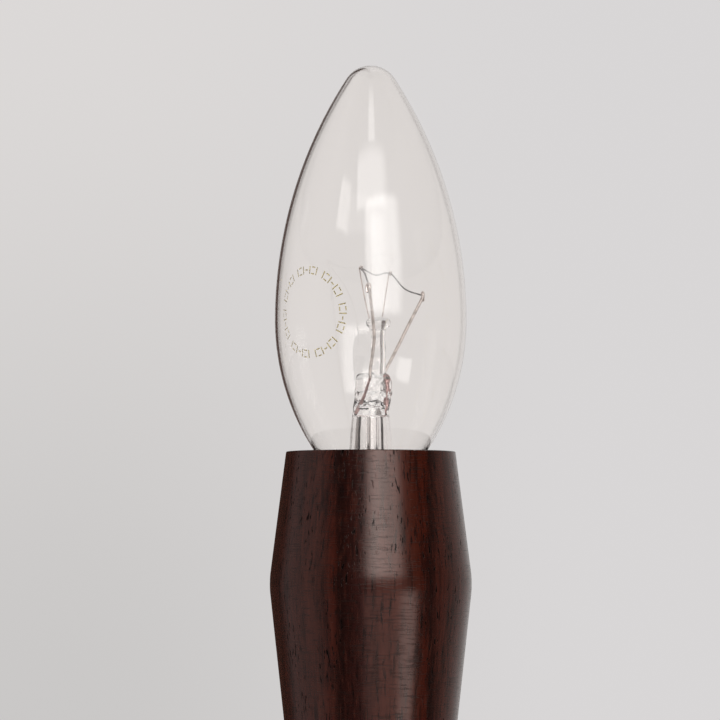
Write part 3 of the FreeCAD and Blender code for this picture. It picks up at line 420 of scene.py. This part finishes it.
# %% [markdown]
# ## The bulb's glass
# The bulb is blown in a mould, so its outside is smooth arcs: a rounded tip, a long ogive, a fuller lower
# curve, and a reverse curve into the neck, which hides in the stem. The inner wall is the same outline
# moved in by the wall's thickness, which is drawn a little thinner than the design's 0.6 mm, so that the
# rim reads as one fine line. It is made as one closed shell, because a single sheet would not bend light as
# a wall does.

# %% Glass envelope
WALL = 0.42 * MM
belly_radius = glass_high.x
tip_round = 5.3 * MM
lower_round = 43.5 * MM
neck_round = 4.5 * MM
belly_level = rim + 24.1 * MM
neck_radius = 6.35 * MM
seal_radius = 5.495 * MM
seal_level = rim - 9.1 * MM


def glass_outline(inset):
    """The bulb's wall from its foot to its tip: each arc runs on from the last. Inset gives the inner
    wall."""
    tip_centre = (0.0, glass_high.z - tip_round)
    rise = tip_centre[1] - belly_level
    ogive = (belly_radius ** 2 + rise ** 2 - tip_round ** 2) / (2 * (belly_radius - tip_round))
    lower_centre = (belly_radius - lower_round, belly_level)
    across = neck_radius + neck_round - lower_centre[0]
    drop = math.sqrt((lower_round + neck_round) ** 2 - across ** 2)
    neck_centre = (neck_radius + neck_round, belly_level - drop)
    lower_angle = math.degrees(math.atan2(drop, across))
    ogive_angle = math.degrees(math.atan2(rise, ogive - belly_radius))
    return ([(seal_radius - inset, glass_low.z), (seal_radius - inset, seal_level)]
            + arc(neck_centre, neck_round + inset, 180, 180 - lower_angle, 14)
            + arc(lower_centre, lower_round - inset, -lower_angle, 0, 40)[1:]
            + arc((belly_radius - ogive, belly_level), ogive - inset, 0, ogive_angle, 64)[1:]
            + arc(tip_centre, tip_round - inset, ogive_angle, 90, 18)[1:-1] + [(0.0, glass_high.z - inset)])


envelope = lathe(bmesh.new(), glass_outline(0.0) + glass_outline(WALL)[::-1], 192)
envelope = new_piece("blown_bulb", envelope)
dress(envelope, "bulb", "clear_glass", blown_glass, "glass_envelope")

# %% [markdown]
# ## The fused glass mount
# A flared tube, a flattened press, a rod and a button are melted into one piece of glass. Modelled as
# separate solids they would show edges inside each other, which real fused glass hasn't. So they are made
# roughly, joined by a voxel remesh, and relaxed, which rounds the joints as a flame does. A little noise
# gives the lumps of hand-pressed glass.

# %% Path helpers: smooth lines and tubes
def smooth_line(points, steps=8):
    """A Catmull-Rom curve through the points."""
    line = []
    padded = [points[0] * 2 - points[1], *points, points[-1] * 2 - points[-2]]
    for before, start, end, after in zip(padded, padded[1:], padded[2:], padded[3:]):
        for step in range(steps):
            t = step / steps
            bend = 2 * before - 5 * start + 4 * end - after
            twist = 3 * start - before - 3 * end + after
            line.append(0.5 * (2 * start + (end - before) * t + bend * t * t + twist * t ** 3))
    return line + [points[-1]]


def along_path(path):
    """For each point, its direction and two directions across it that don't twist along the way."""
    frames = []
    side = None
    for number, spot in enumerate(path):
        ahead = path[min(number + 1, len(path) - 1)] - path[max(number - 1, 0)]
        ahead.normalize()
        if side is None:
            side = ahead.orthogonal().normalized()
        side = (side - ahead * side.dot(ahead)).normalized()
        frames.append((spot, side, ahead.cross(side)))
    return frames


def tube(mesh, path, radius, sides=12, flatten=None):
    """A round wire with domed ends along a path. Flatten gives a width factor and a thickness factor by share
    of the way along."""
    frames = along_path(path)
    rings = []
    for number, (spot, side, other) in enumerate(frames):
        wide, thin = flatten(number / (len(frames) - 1)) if flatten else (1, 1)
        angles = [2 * math.pi * turn / sides for turn in range(sides)]
        rings.append([mesh.verts.new(spot + (side * math.cos(a) * wide + other * math.sin(a) * thin) * radius)
                      for a in angles])
    for lower, upper in zip(rings, rings[1:]):
        for turn in range(sides):
            following = (turn + 1) % sides
            mesh.faces.new((lower[turn], lower[following], upper[following], upper[turn]))
    for ring, spot, ahead in ((rings[0], path[0], path[0] - path[1]),
                              (rings[-1], path[-1], path[-1] - path[-2])):
        pole = mesh.verts.new(spot + ahead.normalized() * radius * 0.5)
        for turn in range(sides):
            mesh.faces.new((ring[turn], ring[(turn + 1) % sides], pole))
    return mesh


# %% Rough shapes of the mount
RING_SIDES = 48


def press_ring(height, centre_x, wide, deep, squareness, lump):
    """One level of the press: a rounded oblong, a little lumpy."""
    ring = []
    for turn in range(RING_SIDES):
        angle = 2 * math.pi * turn / RING_SIDES
        c, s = math.cos(angle), math.sin(angle)
        reach = (abs(c) ** squareness + abs(s) ** squareness) ** (-1 / squareness)
        reach *= 1 + lump * math.sin(3 * angle + height * 1.7) + lump * math.sin(5 * angle - height * 2.3)
        ring.append(at(centre_x + wide * c * reach, deep * s * reach, height))
    return ring


def loft(mesh, rings):
    """Skins a stack of rings and closes both ends."""
    skins = [[mesh.verts.new(spot) for spot in ring] for ring in rings]
    for lower, upper in zip(skins, skins[1:]):
        for turn in range(len(lower)):
            following = (turn + 1) % len(lower)
            mesh.faces.new((lower[turn], lower[following], upper[following], upper[turn]))
    mesh.faces.new(skins[0][::-1])
    mesh.faces.new(skins[-1])


def remeshed(name, mesh, voxel, relax):
    """Joins overlapping closed shapes into one skin and smooths it, with the modifiers applied."""
    rough = new_piece(name + "_rough", mesh)
    remesh = rough.modifiers.new("join", "REMESH")
    remesh.mode = "VOXEL"
    remesh.voxel_size = voxel
    remesh.use_smooth_shade = True
    soften = rough.modifiers.new("melt", "SMOOTH")
    soften.factor = 0.5
    soften.iterations = relax
    settled = bpy.data.meshes.new_from_object(rough.evaluated_get(bpy.context.evaluated_depsgraph_get()))
    settled.name = name
    bpy.data.objects.remove(rough)
    piece = bpy.data.objects.new(name, settled)
    bpy.context.scene.collection.objects.link(piece)
    return piece


press_top = (press_high.z - rim) / MM
press_foot = (press_low.z - rim) / MM
arbor_x = (arbor_low.x + arbor_high.x) / 2 / MM
button_top = (arbor_high.z - rim) / MM
mount = bmesh.new()
PRESS = [(press_foot - 1.2, 0.0, 3.30, 3.25, 2.0, 0.0), (press_foot + 0.3, 0.1, 3.30, 2.9, 2.2, 0.01),
         (press_foot + 1.6, 0.4, 3.25, 1.9, 2.6, 0.02), (press_foot + 3.2, 0.45, 3.40, 1.6, 3.0, 0.03),
         (press_foot + 4.8, 0.5, 3.30, 1.65, 3.0, 0.02), (press_top - 0.6, 0.5, 3.20, 1.55, 3.0, 0.02),
         (press_top + 0.1, 0.5, 2.70, 1.1, 2.6, 0.0)]
BUTTON = [(button_top - 2.1, arbor_x, 1.5, 1.5, 2.0, 0.0), (button_top - 1.5, arbor_x, 2.2, 2.2, 2.0, 0.0),
          (button_top - 0.8, arbor_x, 2.3, 2.25, 2.0, 0.01), (button_top - 0.2, arbor_x, 1.9, 1.9, 2.0, 0.02),
          (button_top + 0.15, arbor_x - 0.1, 1.0, 1.0, 2.0, 0.0)]
ARBOR_RADIUS = 1.36 * MM
loft(mount, [press_ring(*level) for level in PRESS])
tube(mount, [at(arbor_x - 0.2, 0, press_top - 1.5), at(arbor_x, 0, press_top + 1),
             at(arbor_x, 0, button_top - 1.2)], ARBOR_RADIUS, 32)
loft(mount, [press_ring(*level) for level in BUTTON])
flare_wall = 0.7 * MM
flare_waist = rim
flare_outer = [(flare_high.x, flare_low.z), (flare_high.x, flare_low.z + 1.0 * MM), (3.95 * MM, flare_waist),
               (3.3 * MM, press_low.z + 0.3 * MM)]
flare_inner = [(radius - flare_wall, height) for radius, height in flare_outer[::-1]]
lathe(mount, flare_outer + flare_inner, 64)
VOXEL = 0.14 * MM
MELT_STEPS = 6
fused = remeshed("fused_mount", mount, VOXEL, MELT_STEPS)
outward = [vert.normal.copy() for vert in fused.data.vertices]
for vert, normal in zip(fused.data.vertices, outward):
    level = (vert.co.z - rim) / MM
    inside = min(max((level - press_foot + 1.5) / 1.5, 0), 1) * min(max((button_top - level) / 1.5, 0), 1)
    reach = (0.34 if level < press_foot + 3 else 0.20) if level < press_top else 0.07
    coarse = noise.noise(vert.co / MM / 1.7 + Vector((3.1, 0.4, 7.7)))
    fine = noise.noise(vert.co / MM / 0.75 + Vector((1.9, 5.2, 0.3)))
    vert.co += normal * (coarse + 0.35 * fine) * reach * inside * MM
dress(fused, "bulb", "clear_glass", fused_glass, "stem_flare", "glass_press", "glass_arbor")

# %% Exhaust tube
tube_low, tube_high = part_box("exhaust_tube")
tube_x = (tube_low.x + tube_high.x) / 2
tube_outer = (tube_high.x - tube_low.x) / 2
tube_bore = 0.7 * MM
tube_end = 1.4 * MM
exhaust = lathe(bmesh.new(), [
    (tube_outer, tube_high.z - tube_end), (tube_bore, tube_high.z - tube_end),
    (tube_bore, tube_low.z + tube_end),
    (0.0, tube_low.z + 0.9 * MM), (0.0, tube_low.z), (tube_outer * 0.6, tube_low.z + 0.2 * MM),
    (tube_outer, tube_low.z + 0.9 * MM)], 40)
bmesh.ops.translate(exhaust, vec=(tube_x, 0, 0), verts=exhaust.verts)
exhaust = new_piece("sealed_exhaust_tube", exhaust, 60)
dress(exhaust, "bulb", "clear_glass", fused_glass, "exhaust_tube")

# %% [markdown]
# ## Lead wires, supports and filament
# Stiff nickel wires rise from the press. Each is flattened at its top and folded over the filament's end.
# Where they cross the glass they are thin copper-clad wire, which shows pink in the press, because only
# that seals to glass. Two fine wires set in the button hold the filament up, each with a curl round it.

# %% Lead wires
LEAD = 0.29 * MM
LEFT_TOP = (-0.2, -7.4, 29.3)
RIGHT_TOP = (9.45, 1.0, 28.2)


def clamp_flatten(share):
    """Round along most of the wire, and hammered flat over its last stretch."""
    flat = min(max((share - 0.80) / 0.06, 0), 1)
    return 1 + 0.55 * flat, 1 - 0.45 * flat


def lead_wire(name, points, hook, node):
    """A stiff wire that ends in a fold over the filament. The hook is the way the fold leans."""
    top = Vector(points[-1])
    lean = Vector(hook)
    fold = [top, top + Vector((0, 0, 0.7)), top + Vector((0, 0, 1.0)) + lean * 0.45,
            top + Vector((0, 0, 0.6)) + lean * 0.75, top + Vector((0, 0, -0.5)) + lean * 0.62]
    path = smooth_line([at(*spot) for spot in points[:-1]] + [at(*spot) for spot in fold], 10)
    mesh = tube(bmesh.new(), path, LEAD, 14, clamp_flatten)
    dress(new_piece(name, mesh, 60), "bulb", "nickel_wire", nickel, node)


lead_wire("left_lead_wire", [(-0.1, -1.0, press_top - 0.8), (-0.1, -1.0, press_top + 0.8), (0.35, -1.7, 18.0),
                             (0.62, -2.6, 20.8), (0.42, -3.6, 23.6), (0.0, -6.0, 27.4), LEFT_TOP],
          (-0.5, 0.7, 0), "left_lead")
lead_wire("right_lead_wire", [(2.45, 1.2, press_top - 0.8), (2.55, 1.25, press_top + 0.4), (4.3, 1.2, 18.0),
                              (7.2, 1.1, 23.8), RIGHT_TOP], (0.25, 0.8, 0), "right_lead")

# %% Copper seals and the thin wires below the press
SEAL_WIRE = 0.24 * MM
OUTER_LEAD = 0.22 * MM
seals = bmesh.new()
tube(seals, smooth_line([at(-0.1, -1.0, press_top - 0.7), at(-0.7, -0.7, press_top - 2.6),
                         at(-1.3, -0.3, press_foot + 1.4), at(-2.0, 0, press_foot - 1.0)]), SEAL_WIRE, 12)
tube(seals, smooth_line([at(2.45, 1.2, press_top - 0.7), at(2.7, 0.7, press_top - 2.6),
                         at(2.4, 0.3, press_foot + 1.4), at(2.0, 0, press_foot - 1.0)]), SEAL_WIRE, 12)
dress(new_piece("copper_seals", seals, 60), "bulb", "nickel_wire", dumet)
neck_foot = (glass_low.z - rim) / MM
tube_foot = (tube_low.z - rim) / MM
outer_leads = bmesh.new()
tube(outer_leads, smooth_line([at(-2.0, 0, press_foot - 0.9), at(-2.15, 0.1, 0), at(-2.0, 0, neck_foot - 1),
                               at(-4.4, 0, neck_foot - 2.1)]), OUTER_LEAD, 10)
tube(outer_leads, smooth_line([at(2.0, 0, press_foot - 0.9), at(2.15, 0, 0), at(2.1, 0, tube_foot - 0.6),
                               at(0.15, 0, tube_foot - 2.5), at(0, 0, (contact_top - rim) / MM + 0.1)]),
     OUTER_LEAD, 10)
dress(new_piece("thin_outer_leads", outer_leads, 60), "bulb", "nickel_wire", oxidised)

# %% Filament: a coil wound along a curve through its supports
COIL_RADIUS = 0.125 * MM
COIL_WIRE = 0.028 * MM
COIL_PITCH = 0.105 * MM
FIRST_CURL = (-1.8, 5.2, 34.0)
SECOND_CURL = (3.6, 7.0, 33.1)
filament_points = [(-0.5, -7.2, 30.4), (-1.1, -1.4, 32.6), FIRST_CURL, (0.9, 6.7, 32.8), SECOND_CURL,
                   (6.3, 4.4, 30.1), (9.45, 1.25, 28.7)]
centre_line = smooth_line([at(*spot) for spot in filament_points], 24)


def resampled(path, spacing):
    """The same line as points a set distance apart."""
    result = [path[0]]
    travelled = 0.0
    for start, end in zip(path, path[1:]):
        step = (end - start).length
        while travelled + step >= spacing:
            start = start + (end - start).normalized() * (spacing - travelled)
            result.append(start)
            step = (end - start).length
            travelled = 0.0
        travelled += step
    return result


PER_TURN = 9
coil_path = []
for number, (spot, side, other) in enumerate(along_path(resampled(centre_line, COIL_PITCH / PER_TURN))):
    angle = 2 * math.pi * number / PER_TURN
    coil_path.append(spot + (side * math.cos(angle) + other * math.sin(angle)) * COIL_RADIUS)
coil = tube(bmesh.new(), coil_path, COIL_WIRE, 4)
dress(new_piece("coiled_filament", coil, 80), "bulb", "tungsten", tungsten, "filament")

# %% Support wires with a curl round the filament
SUPPORT = 0.11 * MM
CURL_STEPS = 18
CURL_RADIUS = 0.34
CURL_WIDTH = 0.5


def support_wire(mesh, start, bend, curl):
    """A fine wire from inside the button to one and a half turns round the filament."""
    hold = Vector(curl)
    loop = []
    for step in range(CURL_STEPS + 1):
        angle = -math.pi / 2 + 3 * math.pi * step / CURL_STEPS
        across = CURL_WIDTH * (step / CURL_STEPS - 0.5)
        loop.append(hold + Vector((across, CURL_RADIUS * math.cos(angle), CURL_RADIUS * math.sin(angle))))
    path = smooth_line([at(*start), at(*bend)] + [at(*spot) for spot in loop], 4)
    tube(mesh, path, SUPPORT, 8)


supports = bmesh.new()
support_wire(supports, (-0.1, 0.5, button_top - 0.9), (-1.1, 2.4, 28.2), FIRST_CURL)
support_wire(supports, (2.0, 0.6, button_top - 0.7), (2.7, 3.4, 28.6), SECOND_CURL)
dress(new_piece("curled_supports", supports, 60), "bulb", "nickel_wire", nickel, "support_wires")

# %% [markdown]
# ## The printed ring
# Bulbs carry a small round print. This one is a plain ring of short strokes, with no letters. A texture
# would need an image, so each stroke is a thin curved patch that lies on the glass.

# %% Printed ring
RING_LEVEL = rim + 26.3 * MM
RING_AZIMUTH = math.radians(133)
RING_INNER = 7.1 * MM
RING_OUTER = 8.6 * MM
STROKE = 0.24 * MM
PRINT_LIFT = 0.012 * MM
bulb_wall = glass_outline(-PRINT_LIFT)


def on_glass(across, up):
    """A point on the bulb's outside, so far round it and so far above the ring's middle."""
    level = RING_LEVEL + up
    below, above = next(pair for pair in zip(bulb_wall[1:], bulb_wall[2:])
                        if pair[0][1] <= level < pair[1][1])
    share = (level - below[1]) / (above[1] - below[1])
    radius = below[0] + (above[0] - below[0]) * share
    angle = RING_AZIMUTH + across / belly_radius
    return Vector((radius * math.cos(angle), radius * math.sin(angle), level))


def stroke(mesh, angle, width, inner, outer, steps=4):
    """A patch of the ring, as wide as given at its middle, from one radius to another."""
    half_turn = width / (inner + outer)
    rows = []
    for step in range(steps + 1):
        turn = angle + half_turn * (2 * step / steps - 1)
        rows.append([mesh.verts.new(on_glass(reach * math.cos(turn), reach * math.sin(turn)))
                     for reach in (inner, (inner + outer) / 2, outer)])
    for first, second in zip(rows, rows[1:]):
        for column in range(2):
            mesh.faces.new((first[column], first[column + 1], second[column + 1], second[column]))


print_mesh = bmesh.new()
MARKS = 28
for number in range(MARKS):
    angle = 2 * math.pi * number / MARKS
    stroke(print_mesh, angle, STROKE, RING_INNER, RING_OUTER)
    if number % 2:
        stroke(print_mesh, angle + math.pi / MARKS, 0.8 * MM, RING_OUTER - STROKE, RING_OUTER)
        stroke(print_mesh, angle + math.pi / MARKS, 0.8 * MM, RING_INNER, RING_INNER + STROKE)
    elif number % 4:
        stroke(print_mesh, angle + math.pi / MARKS, 0.7 * MM, (RING_INNER + RING_OUTER - STROKE) / 2,
               (RING_INNER + RING_OUTER + STROKE) / 2)
dress(new_piece("printed_ring", print_mesh, 60), "bulb", "brass", gold_print)

# %% [markdown]
# ## Felt pad and solder
# Cut felt has a soft, slightly frayed edge, and solder sets in a lumpy dome, so both get a mesh of their
# own.

# %% Felt pad with a frayed edge
felt_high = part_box("felt_pad")[1]
random.seed(7)
FRAY = 0.22 * MM
FELT_TURNS = 480
felt_mesh = bmesh.new()
edge = felt_high.x
thick = felt_high.z
lathe(felt_mesh, [(0.0, 0.0), (edge * 0.5, 0.0), (edge - 0.6 * MM, 0.0), (edge - 0.15 * MM, 0.2 * MM),
                  (edge, 0.5 * MM), (edge, 1.0 * MM), (edge - 0.15 * MM, thick - 0.15 * MM),
                  (edge - 0.5 * MM, thick), (0.0, thick)], FELT_TURNS, closed=False)
for vert in felt_mesh.verts:
    reach = math.hypot(vert.co.x, vert.co.y)
    if reach > edge - 0.4 * MM:
        vert.co.xy *= 1 - random.uniform(0, FRAY) / reach
dress(new_piece("cut_felt_pad", felt_mesh, 60), "root", "felt", felt, "felt_pad")


# %% Solder on the contact and on the skirt
def lumpy(mesh, amount, seed):
    """Moves each vertex a little along its normal, by a smooth sum of waves."""
    random.seed(seed)
    waves = [(Vector((random.uniform(-1, 1), random.uniform(-1, 1), random.uniform(-1, 1))) * 1500,
              random.uniform(0, 6)) for _ in range(5)]
    mesh.normal_update()
    for vert in mesh.verts:
        swell = sum(math.sin(vert.co.dot(wave) + phase) for wave, phase in waves)
        vert.co += vert.normal * amount * swell / 5


contact_low, contact_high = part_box("cap_contact")
dome = contact_high.x
DOME_SHAPE = [(0.0, 0.05), (0.35, 0.08), (0.65, 0.25), (0.88, 0.65), (0.98, 1.15), (0.96, 1.65)]
contact_stub = 0.9 * MM
dome_outline = [(dome * share, contact_low.z + level * MM) for share, level in DOME_SHAPE]
stub_outline = [(contact_stub, contact_low.z + 1.7 * MM), (contact_stub, contact_high.z),
                (0.0, contact_high.z)]
solder_mesh = lathe(bmesh.new(), dome_outline + stub_outline, 64, closed=False)
lumpy(solder_mesh, 0.05 * MM, 3)
dress(new_piece("solder_contact", solder_mesh, 60), "bulb", "solder", solder, "cap_contact")
dab_low, dab_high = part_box("side_solder")
dab = bmesh.new()
bmesh.ops.create_icosphere(dab, subdivisions=4, radius=1.0)
dab_middle = Vector(((dab_low.x + dab_high.x) / 2 + 0.3 * MM, 0, (dab_low.z + dab_high.z) / 2))
for vert in dab.verts:
    vert.co = Vector((vert.co.x * 0.75 * MM, vert.co.y * 1.25 * MM, vert.co.z * 1.1 * MM))
    vert.co += dab_middle
lumpy(dab, 0.06 * MM, 5)
dress(new_piece("solder_dab", dab, 60), "bulb", "solder", solder, "side_solder")

# %% [markdown]
# ## Finishes on the design's own pieces
# Everything else already has its right shape: the turned wood, the collar, the screw cap and the whole of
# the lampholder. Those nodes keep their meshes, and each takes the finish that its material slot names.

# %% Dress the design's nodes
finishes = {"rosewood": stem_wood, "felt": felt, "zinc_steel": zinc, "brass": brass,
            "black_phenolic": phenolic, "white_ceramic": steatite, "clear_glass": blown_glass,
            "black_glass": black_glass, "solder": solder, "basing_cement": cement, "nickel_wire": nickel,
            "tungsten": tungsten}
slot_of = {part["node"]: part["material_slot"] for part in frame["record"]["subparts"]}
for name, node in frame["nodes"].items():
    finish = foot_wood if name == "foot" else finishes[slot_of[name]]
    node.data.materials.clear()
    node.data.materials.append(finish)
print("dressed", len(frame["nodes"]), "nodes")

# %% [markdown]
# ## Floor, light and surroundings
# Glass and dark satin wood show mostly what is around them. Large soft panels at the front right draw the
# broad highlight down the upper stem and the long window shapes in the bulb, so their edges fade and are a
# little ragged, as light through a curtained window is. Two cards low down and near draw the narrower
# highlight on the lower stem. The room at the front is kept dark, so that the wood stays dark between its
# highlights, and a strip of tones round the back lights its edges. One light overhead reaches only the
# floor, which the panels leave out, so the floor stays even from every side.

# %% Floor
FLOOR_LEVEL = -0.2 * MM
floor_mesh = bmesh.new()
lathe(floor_mesh, [(0.0, FLOOR_LEVEL), (0.4, FLOOR_LEVEL), (1.3, FLOOR_LEVEL)], 96, closed=False)
floor = new_piece("floor", floor_mesh)
paper = Finish("floor_paper")
tooth = paper.noise(paper.place(), 700, 3)
paper.surface(Base_Color=paper.mix(tooth, (0.66, 0.65, 0.64), (0.70, 0.69, 0.68)), Roughness=0.9,
              Normal=paper.bump(tooth, 0.00005, 0.3))
floor.data.materials.append(paper.owner)
floor.visible_glossy = False


# %% Surroundings
REFLECTED = [(-180, (0.42, 0.40, 0.39)), (-175, (0.060, 0.028, 0.020)), (-128, (0.060, 0.030, 0.022)),
             (-112, (0.29, 0.26, 0.26)), (-70, (0.29, 0.26, 0.26)), (-52, (0.10, 0.09, 0.09)),
             (-42, (0.020, 0.018, 0.018)), (64, (0.020, 0.018, 0.018)), (86, (0.030, 0.027, 0.026)),
             (102, (0.17, 0.15, 0.14)), (122, (0.32, 0.29, 0.28)),
             (152, (0.55, 0.53, 0.52)), (180, (0.64, 0.62, 0.61))]
PALE = (0.745, 0.712, 0.695)
CARD = (0.080, 0.058, 0.052)
BEHIND = [(-180, PALE), (-173, PALE), (-170, CARD), (-158, CARD), (-150, PALE), (180, PALE)]


def surround():
    """The world. The eye sees a pale wall, and light that has been bent by glass sees a pale ring with one
    dark card in it. Reflections and soft light see a strip of tones round the lamp, from -180 degrees at the
    back, by the left and the front, to 180 degrees at the back."""
    world = bpy.data.worlds.new("studio_surround")
    bpy.context.scene.world = world
    room = Finish("studio_surround", world, "ShaderNodeBackground", "ShaderNodeOutputWorld")
    point = room.node("ShaderNodeTexCoord", output="Generated")
    x, y, z = (room.node("ShaderNodeSeparateXYZ", None, {0: point}, output=axis) for axis in range(3))
    seen = room.node("ShaderNodeLightPath", output="Is Camera Ray")
    through = room.node("ShaderNodeLightPath", output="Is Transmission Ray")
    left_wall = room.mix(z.between(-0.03, 0.12), (0.588, 0.575, 0.569), (0.712, 0.690, 0.682))
    wall = room.mix(x.between(-0.06, 0.05), left_wall, (0.690, 0.674, 0.676))
    azimuth = room.node("ShaderNodeMath", {"operation": "ARCTAN2"}, {0: x, 1: 0 - y})
    way_round = azimuth * (0.5 / math.pi) + 0.5
    strip = room.ramp(way_round, *[((place + 180) / 360, tone) for place, tone in REFLECTED])
    dark_above = z.between(0.10, 0.50) * y.between(0.4, 0.8) * 0.85
    reflected = room.mix(dark_above, strip, (0.03, 0.03, 0.03))
    beyond = room.ramp(way_round, *[((place + 180) / 360, tone) for place, tone in BEHIND])
    lit = room.mix(through, reflected, beyond)
    room.surface(Color=room.mix(seen, lit, wall), Strength=1.0)


surround()


# %% Light panels
FAR = 0.95
NEAR = 0.31


def lights_only(name, lamp, state):
    """Light linking: the lamp lights only the floor (INCLUDE), or all but the floor (EXCLUDE)."""
    receivers = bpy.data.collections.new(name + "_receivers")
    receivers.objects.link(floor)
    receivers.collection_objects[0].light_linking.link_state = state
    lamp.light_linking.receiver_collection = receivers


def panel(name, azimuth, elevation, wide, tall, radiance, feather, ragged, distance=FAR):
    """A soft rectangular light round the lamp: 0 degrees is the front, and 90 is the right. Its width and
    height are in degrees, as the lamp sees them. Feather is the share of the panel over which its left,
    right, lower and upper edges fade, and ragged is how far noise eats into them, as leaves or a curtain at
    a window do."""
    middle = Vector((0, 0, rim))
    turn, lift = math.radians(azimuth), math.radians(elevation)
    direction = Vector((math.sin(turn) * math.cos(lift), -math.cos(turn) * math.cos(lift), math.sin(lift)))
    data = bpy.data.lights.new(name, "AREA")
    data.shape = "RECTANGLE"
    data.size = 2 * distance * math.tan(math.radians(wide / 2))
    data.size_y = 2 * distance * math.tan(math.radians(tall / 2))
    data.energy = radiance * math.pi * data.size * data.size_y
    data.color = (1.0, 0.98, 0.96)
    glow = Finish(name, data, "ShaderNodeEmission", "ShaderNodeOutputLight")
    spot = glow.node("ShaderNodeNewGeometry", output="Parametric")
    u, v = (glow.node("ShaderNodeSeparateXYZ", None, {0: spot}, output=axis) for axis in range(2))
    wobble = (glow.noise(spot, 5.0, 4.0, 0.65) - 0.5) * ragged
    left, right, low, high = feather
    u, v = u + wobble, v + wobble
    mask = u.between(0, left) * (1 - u).between(0, right) * v.between(0, low) * (1 - v).between(0, high)
    glow.surface(Strength=mask)
    lamp = bpy.data.objects.new(name, data)
    lamp.location = middle + direction * distance
    lamp.rotation_euler = direction.to_track_quat("Z", "Y").to_euler()
    lamp.visible_camera = False
    bpy.context.scene.collection.objects.link(lamp)
    lights_only(name, lamp, "EXCLUDE")


def overhead(side, height, radiance):
    """A large soft light above that lights the floor evenly and leaves the lamp itself to the panels."""
    data = bpy.data.lights.new("overhead", "AREA")
    data.size = side
    data.energy = radiance * math.pi * side * side
    lamp = bpy.data.objects.new("overhead", data)
    lamp.location = (0, 0, height)
    lamp.visible_camera = lamp.visible_glossy = lamp.visible_transmission = False
    bpy.context.scene.collection.objects.link(lamp)
    lights_only("overhead", lamp, "INCLUDE")


OVERHEAD_SIDE = 2.4
OVERHEAD_HEIGHT = 1.4
overhead(OVERHEAD_SIDE, OVERHEAD_HEIGHT, 2.0)
panel("key_panel", 17, 21, 50, 36, 2.3, (0.15, 0.26, 0.12, 0.10), 0.12)
panel("bright_part", 13, 19, 26, 34, 1.25, (0.12, 0.60, 0.20, 0.20), 0.10)
panel("high_panel", 4, 44, 44, 22, 1.7, (0.08, 0.30, 0.15, 0.35), 0.10)
panel("top_window", 2, 62, 14, 20, 1.6, (0.3, 0.3, 0.1, 0.5), 0.05)
panel("side_card", 43, -18.5, 22, 14, 1.95, (0.30, 0.12, 0.25, 0.15), 0.05, NEAR)
panel("low_card", 14, -18.5, 46, 12, 0.52, (0.10, 0.10, 0.20, 0.20), 0.15, NEAR)

# %% [markdown]
# ## Camera
# A long lens from nearly a metre away looks up very slightly at the bulb from just under the stem's mouth.

# %% Camera
CAMERA_DISTANCE = 0.9
SENSOR = 36.0
VIEW_WIDTH = 0.1319
aim = Vector((-1.97 * MM, 0, rim + 16.8 * MM))
eye = Vector((aim.x, -CAMERA_DISTANCE, rim - 25 * MM))
camera_data = bpy.data.cameras.new("view")
camera_data.sensor_width = SENSOR
camera_data.lens = SENSOR * (aim - eye).length / VIEW_WIDTH
camera_data.clip_start = 0.01
camera = bpy.data.objects.new("view", camera_data)
camera.location = eye
camera.rotation_euler = (aim - eye).to_track_quat("-Z", "Y").to_euler()
bpy.context.scene.collection.objects.link(camera)
bpy.context.scene.camera = camera
print("camera lens", round(camera_data.lens), "mm,", round((aim - eye).length, 3), "m from what it looks at")

# %% Light paths and tone
scene = bpy.context.scene
scene.view_settings.view_transform = "Standard"
scene.cycles.max_bounces = 24
scene.cycles.transmission_bounces = 20
scene.cycles.glossy_bounces = 8
scene.cycles.transparent_max_bounces = 16
scene.cycles.caustics_reflective = False
print("light may bend", scene.cycles.transmission_bounces, "times on its way through glass")
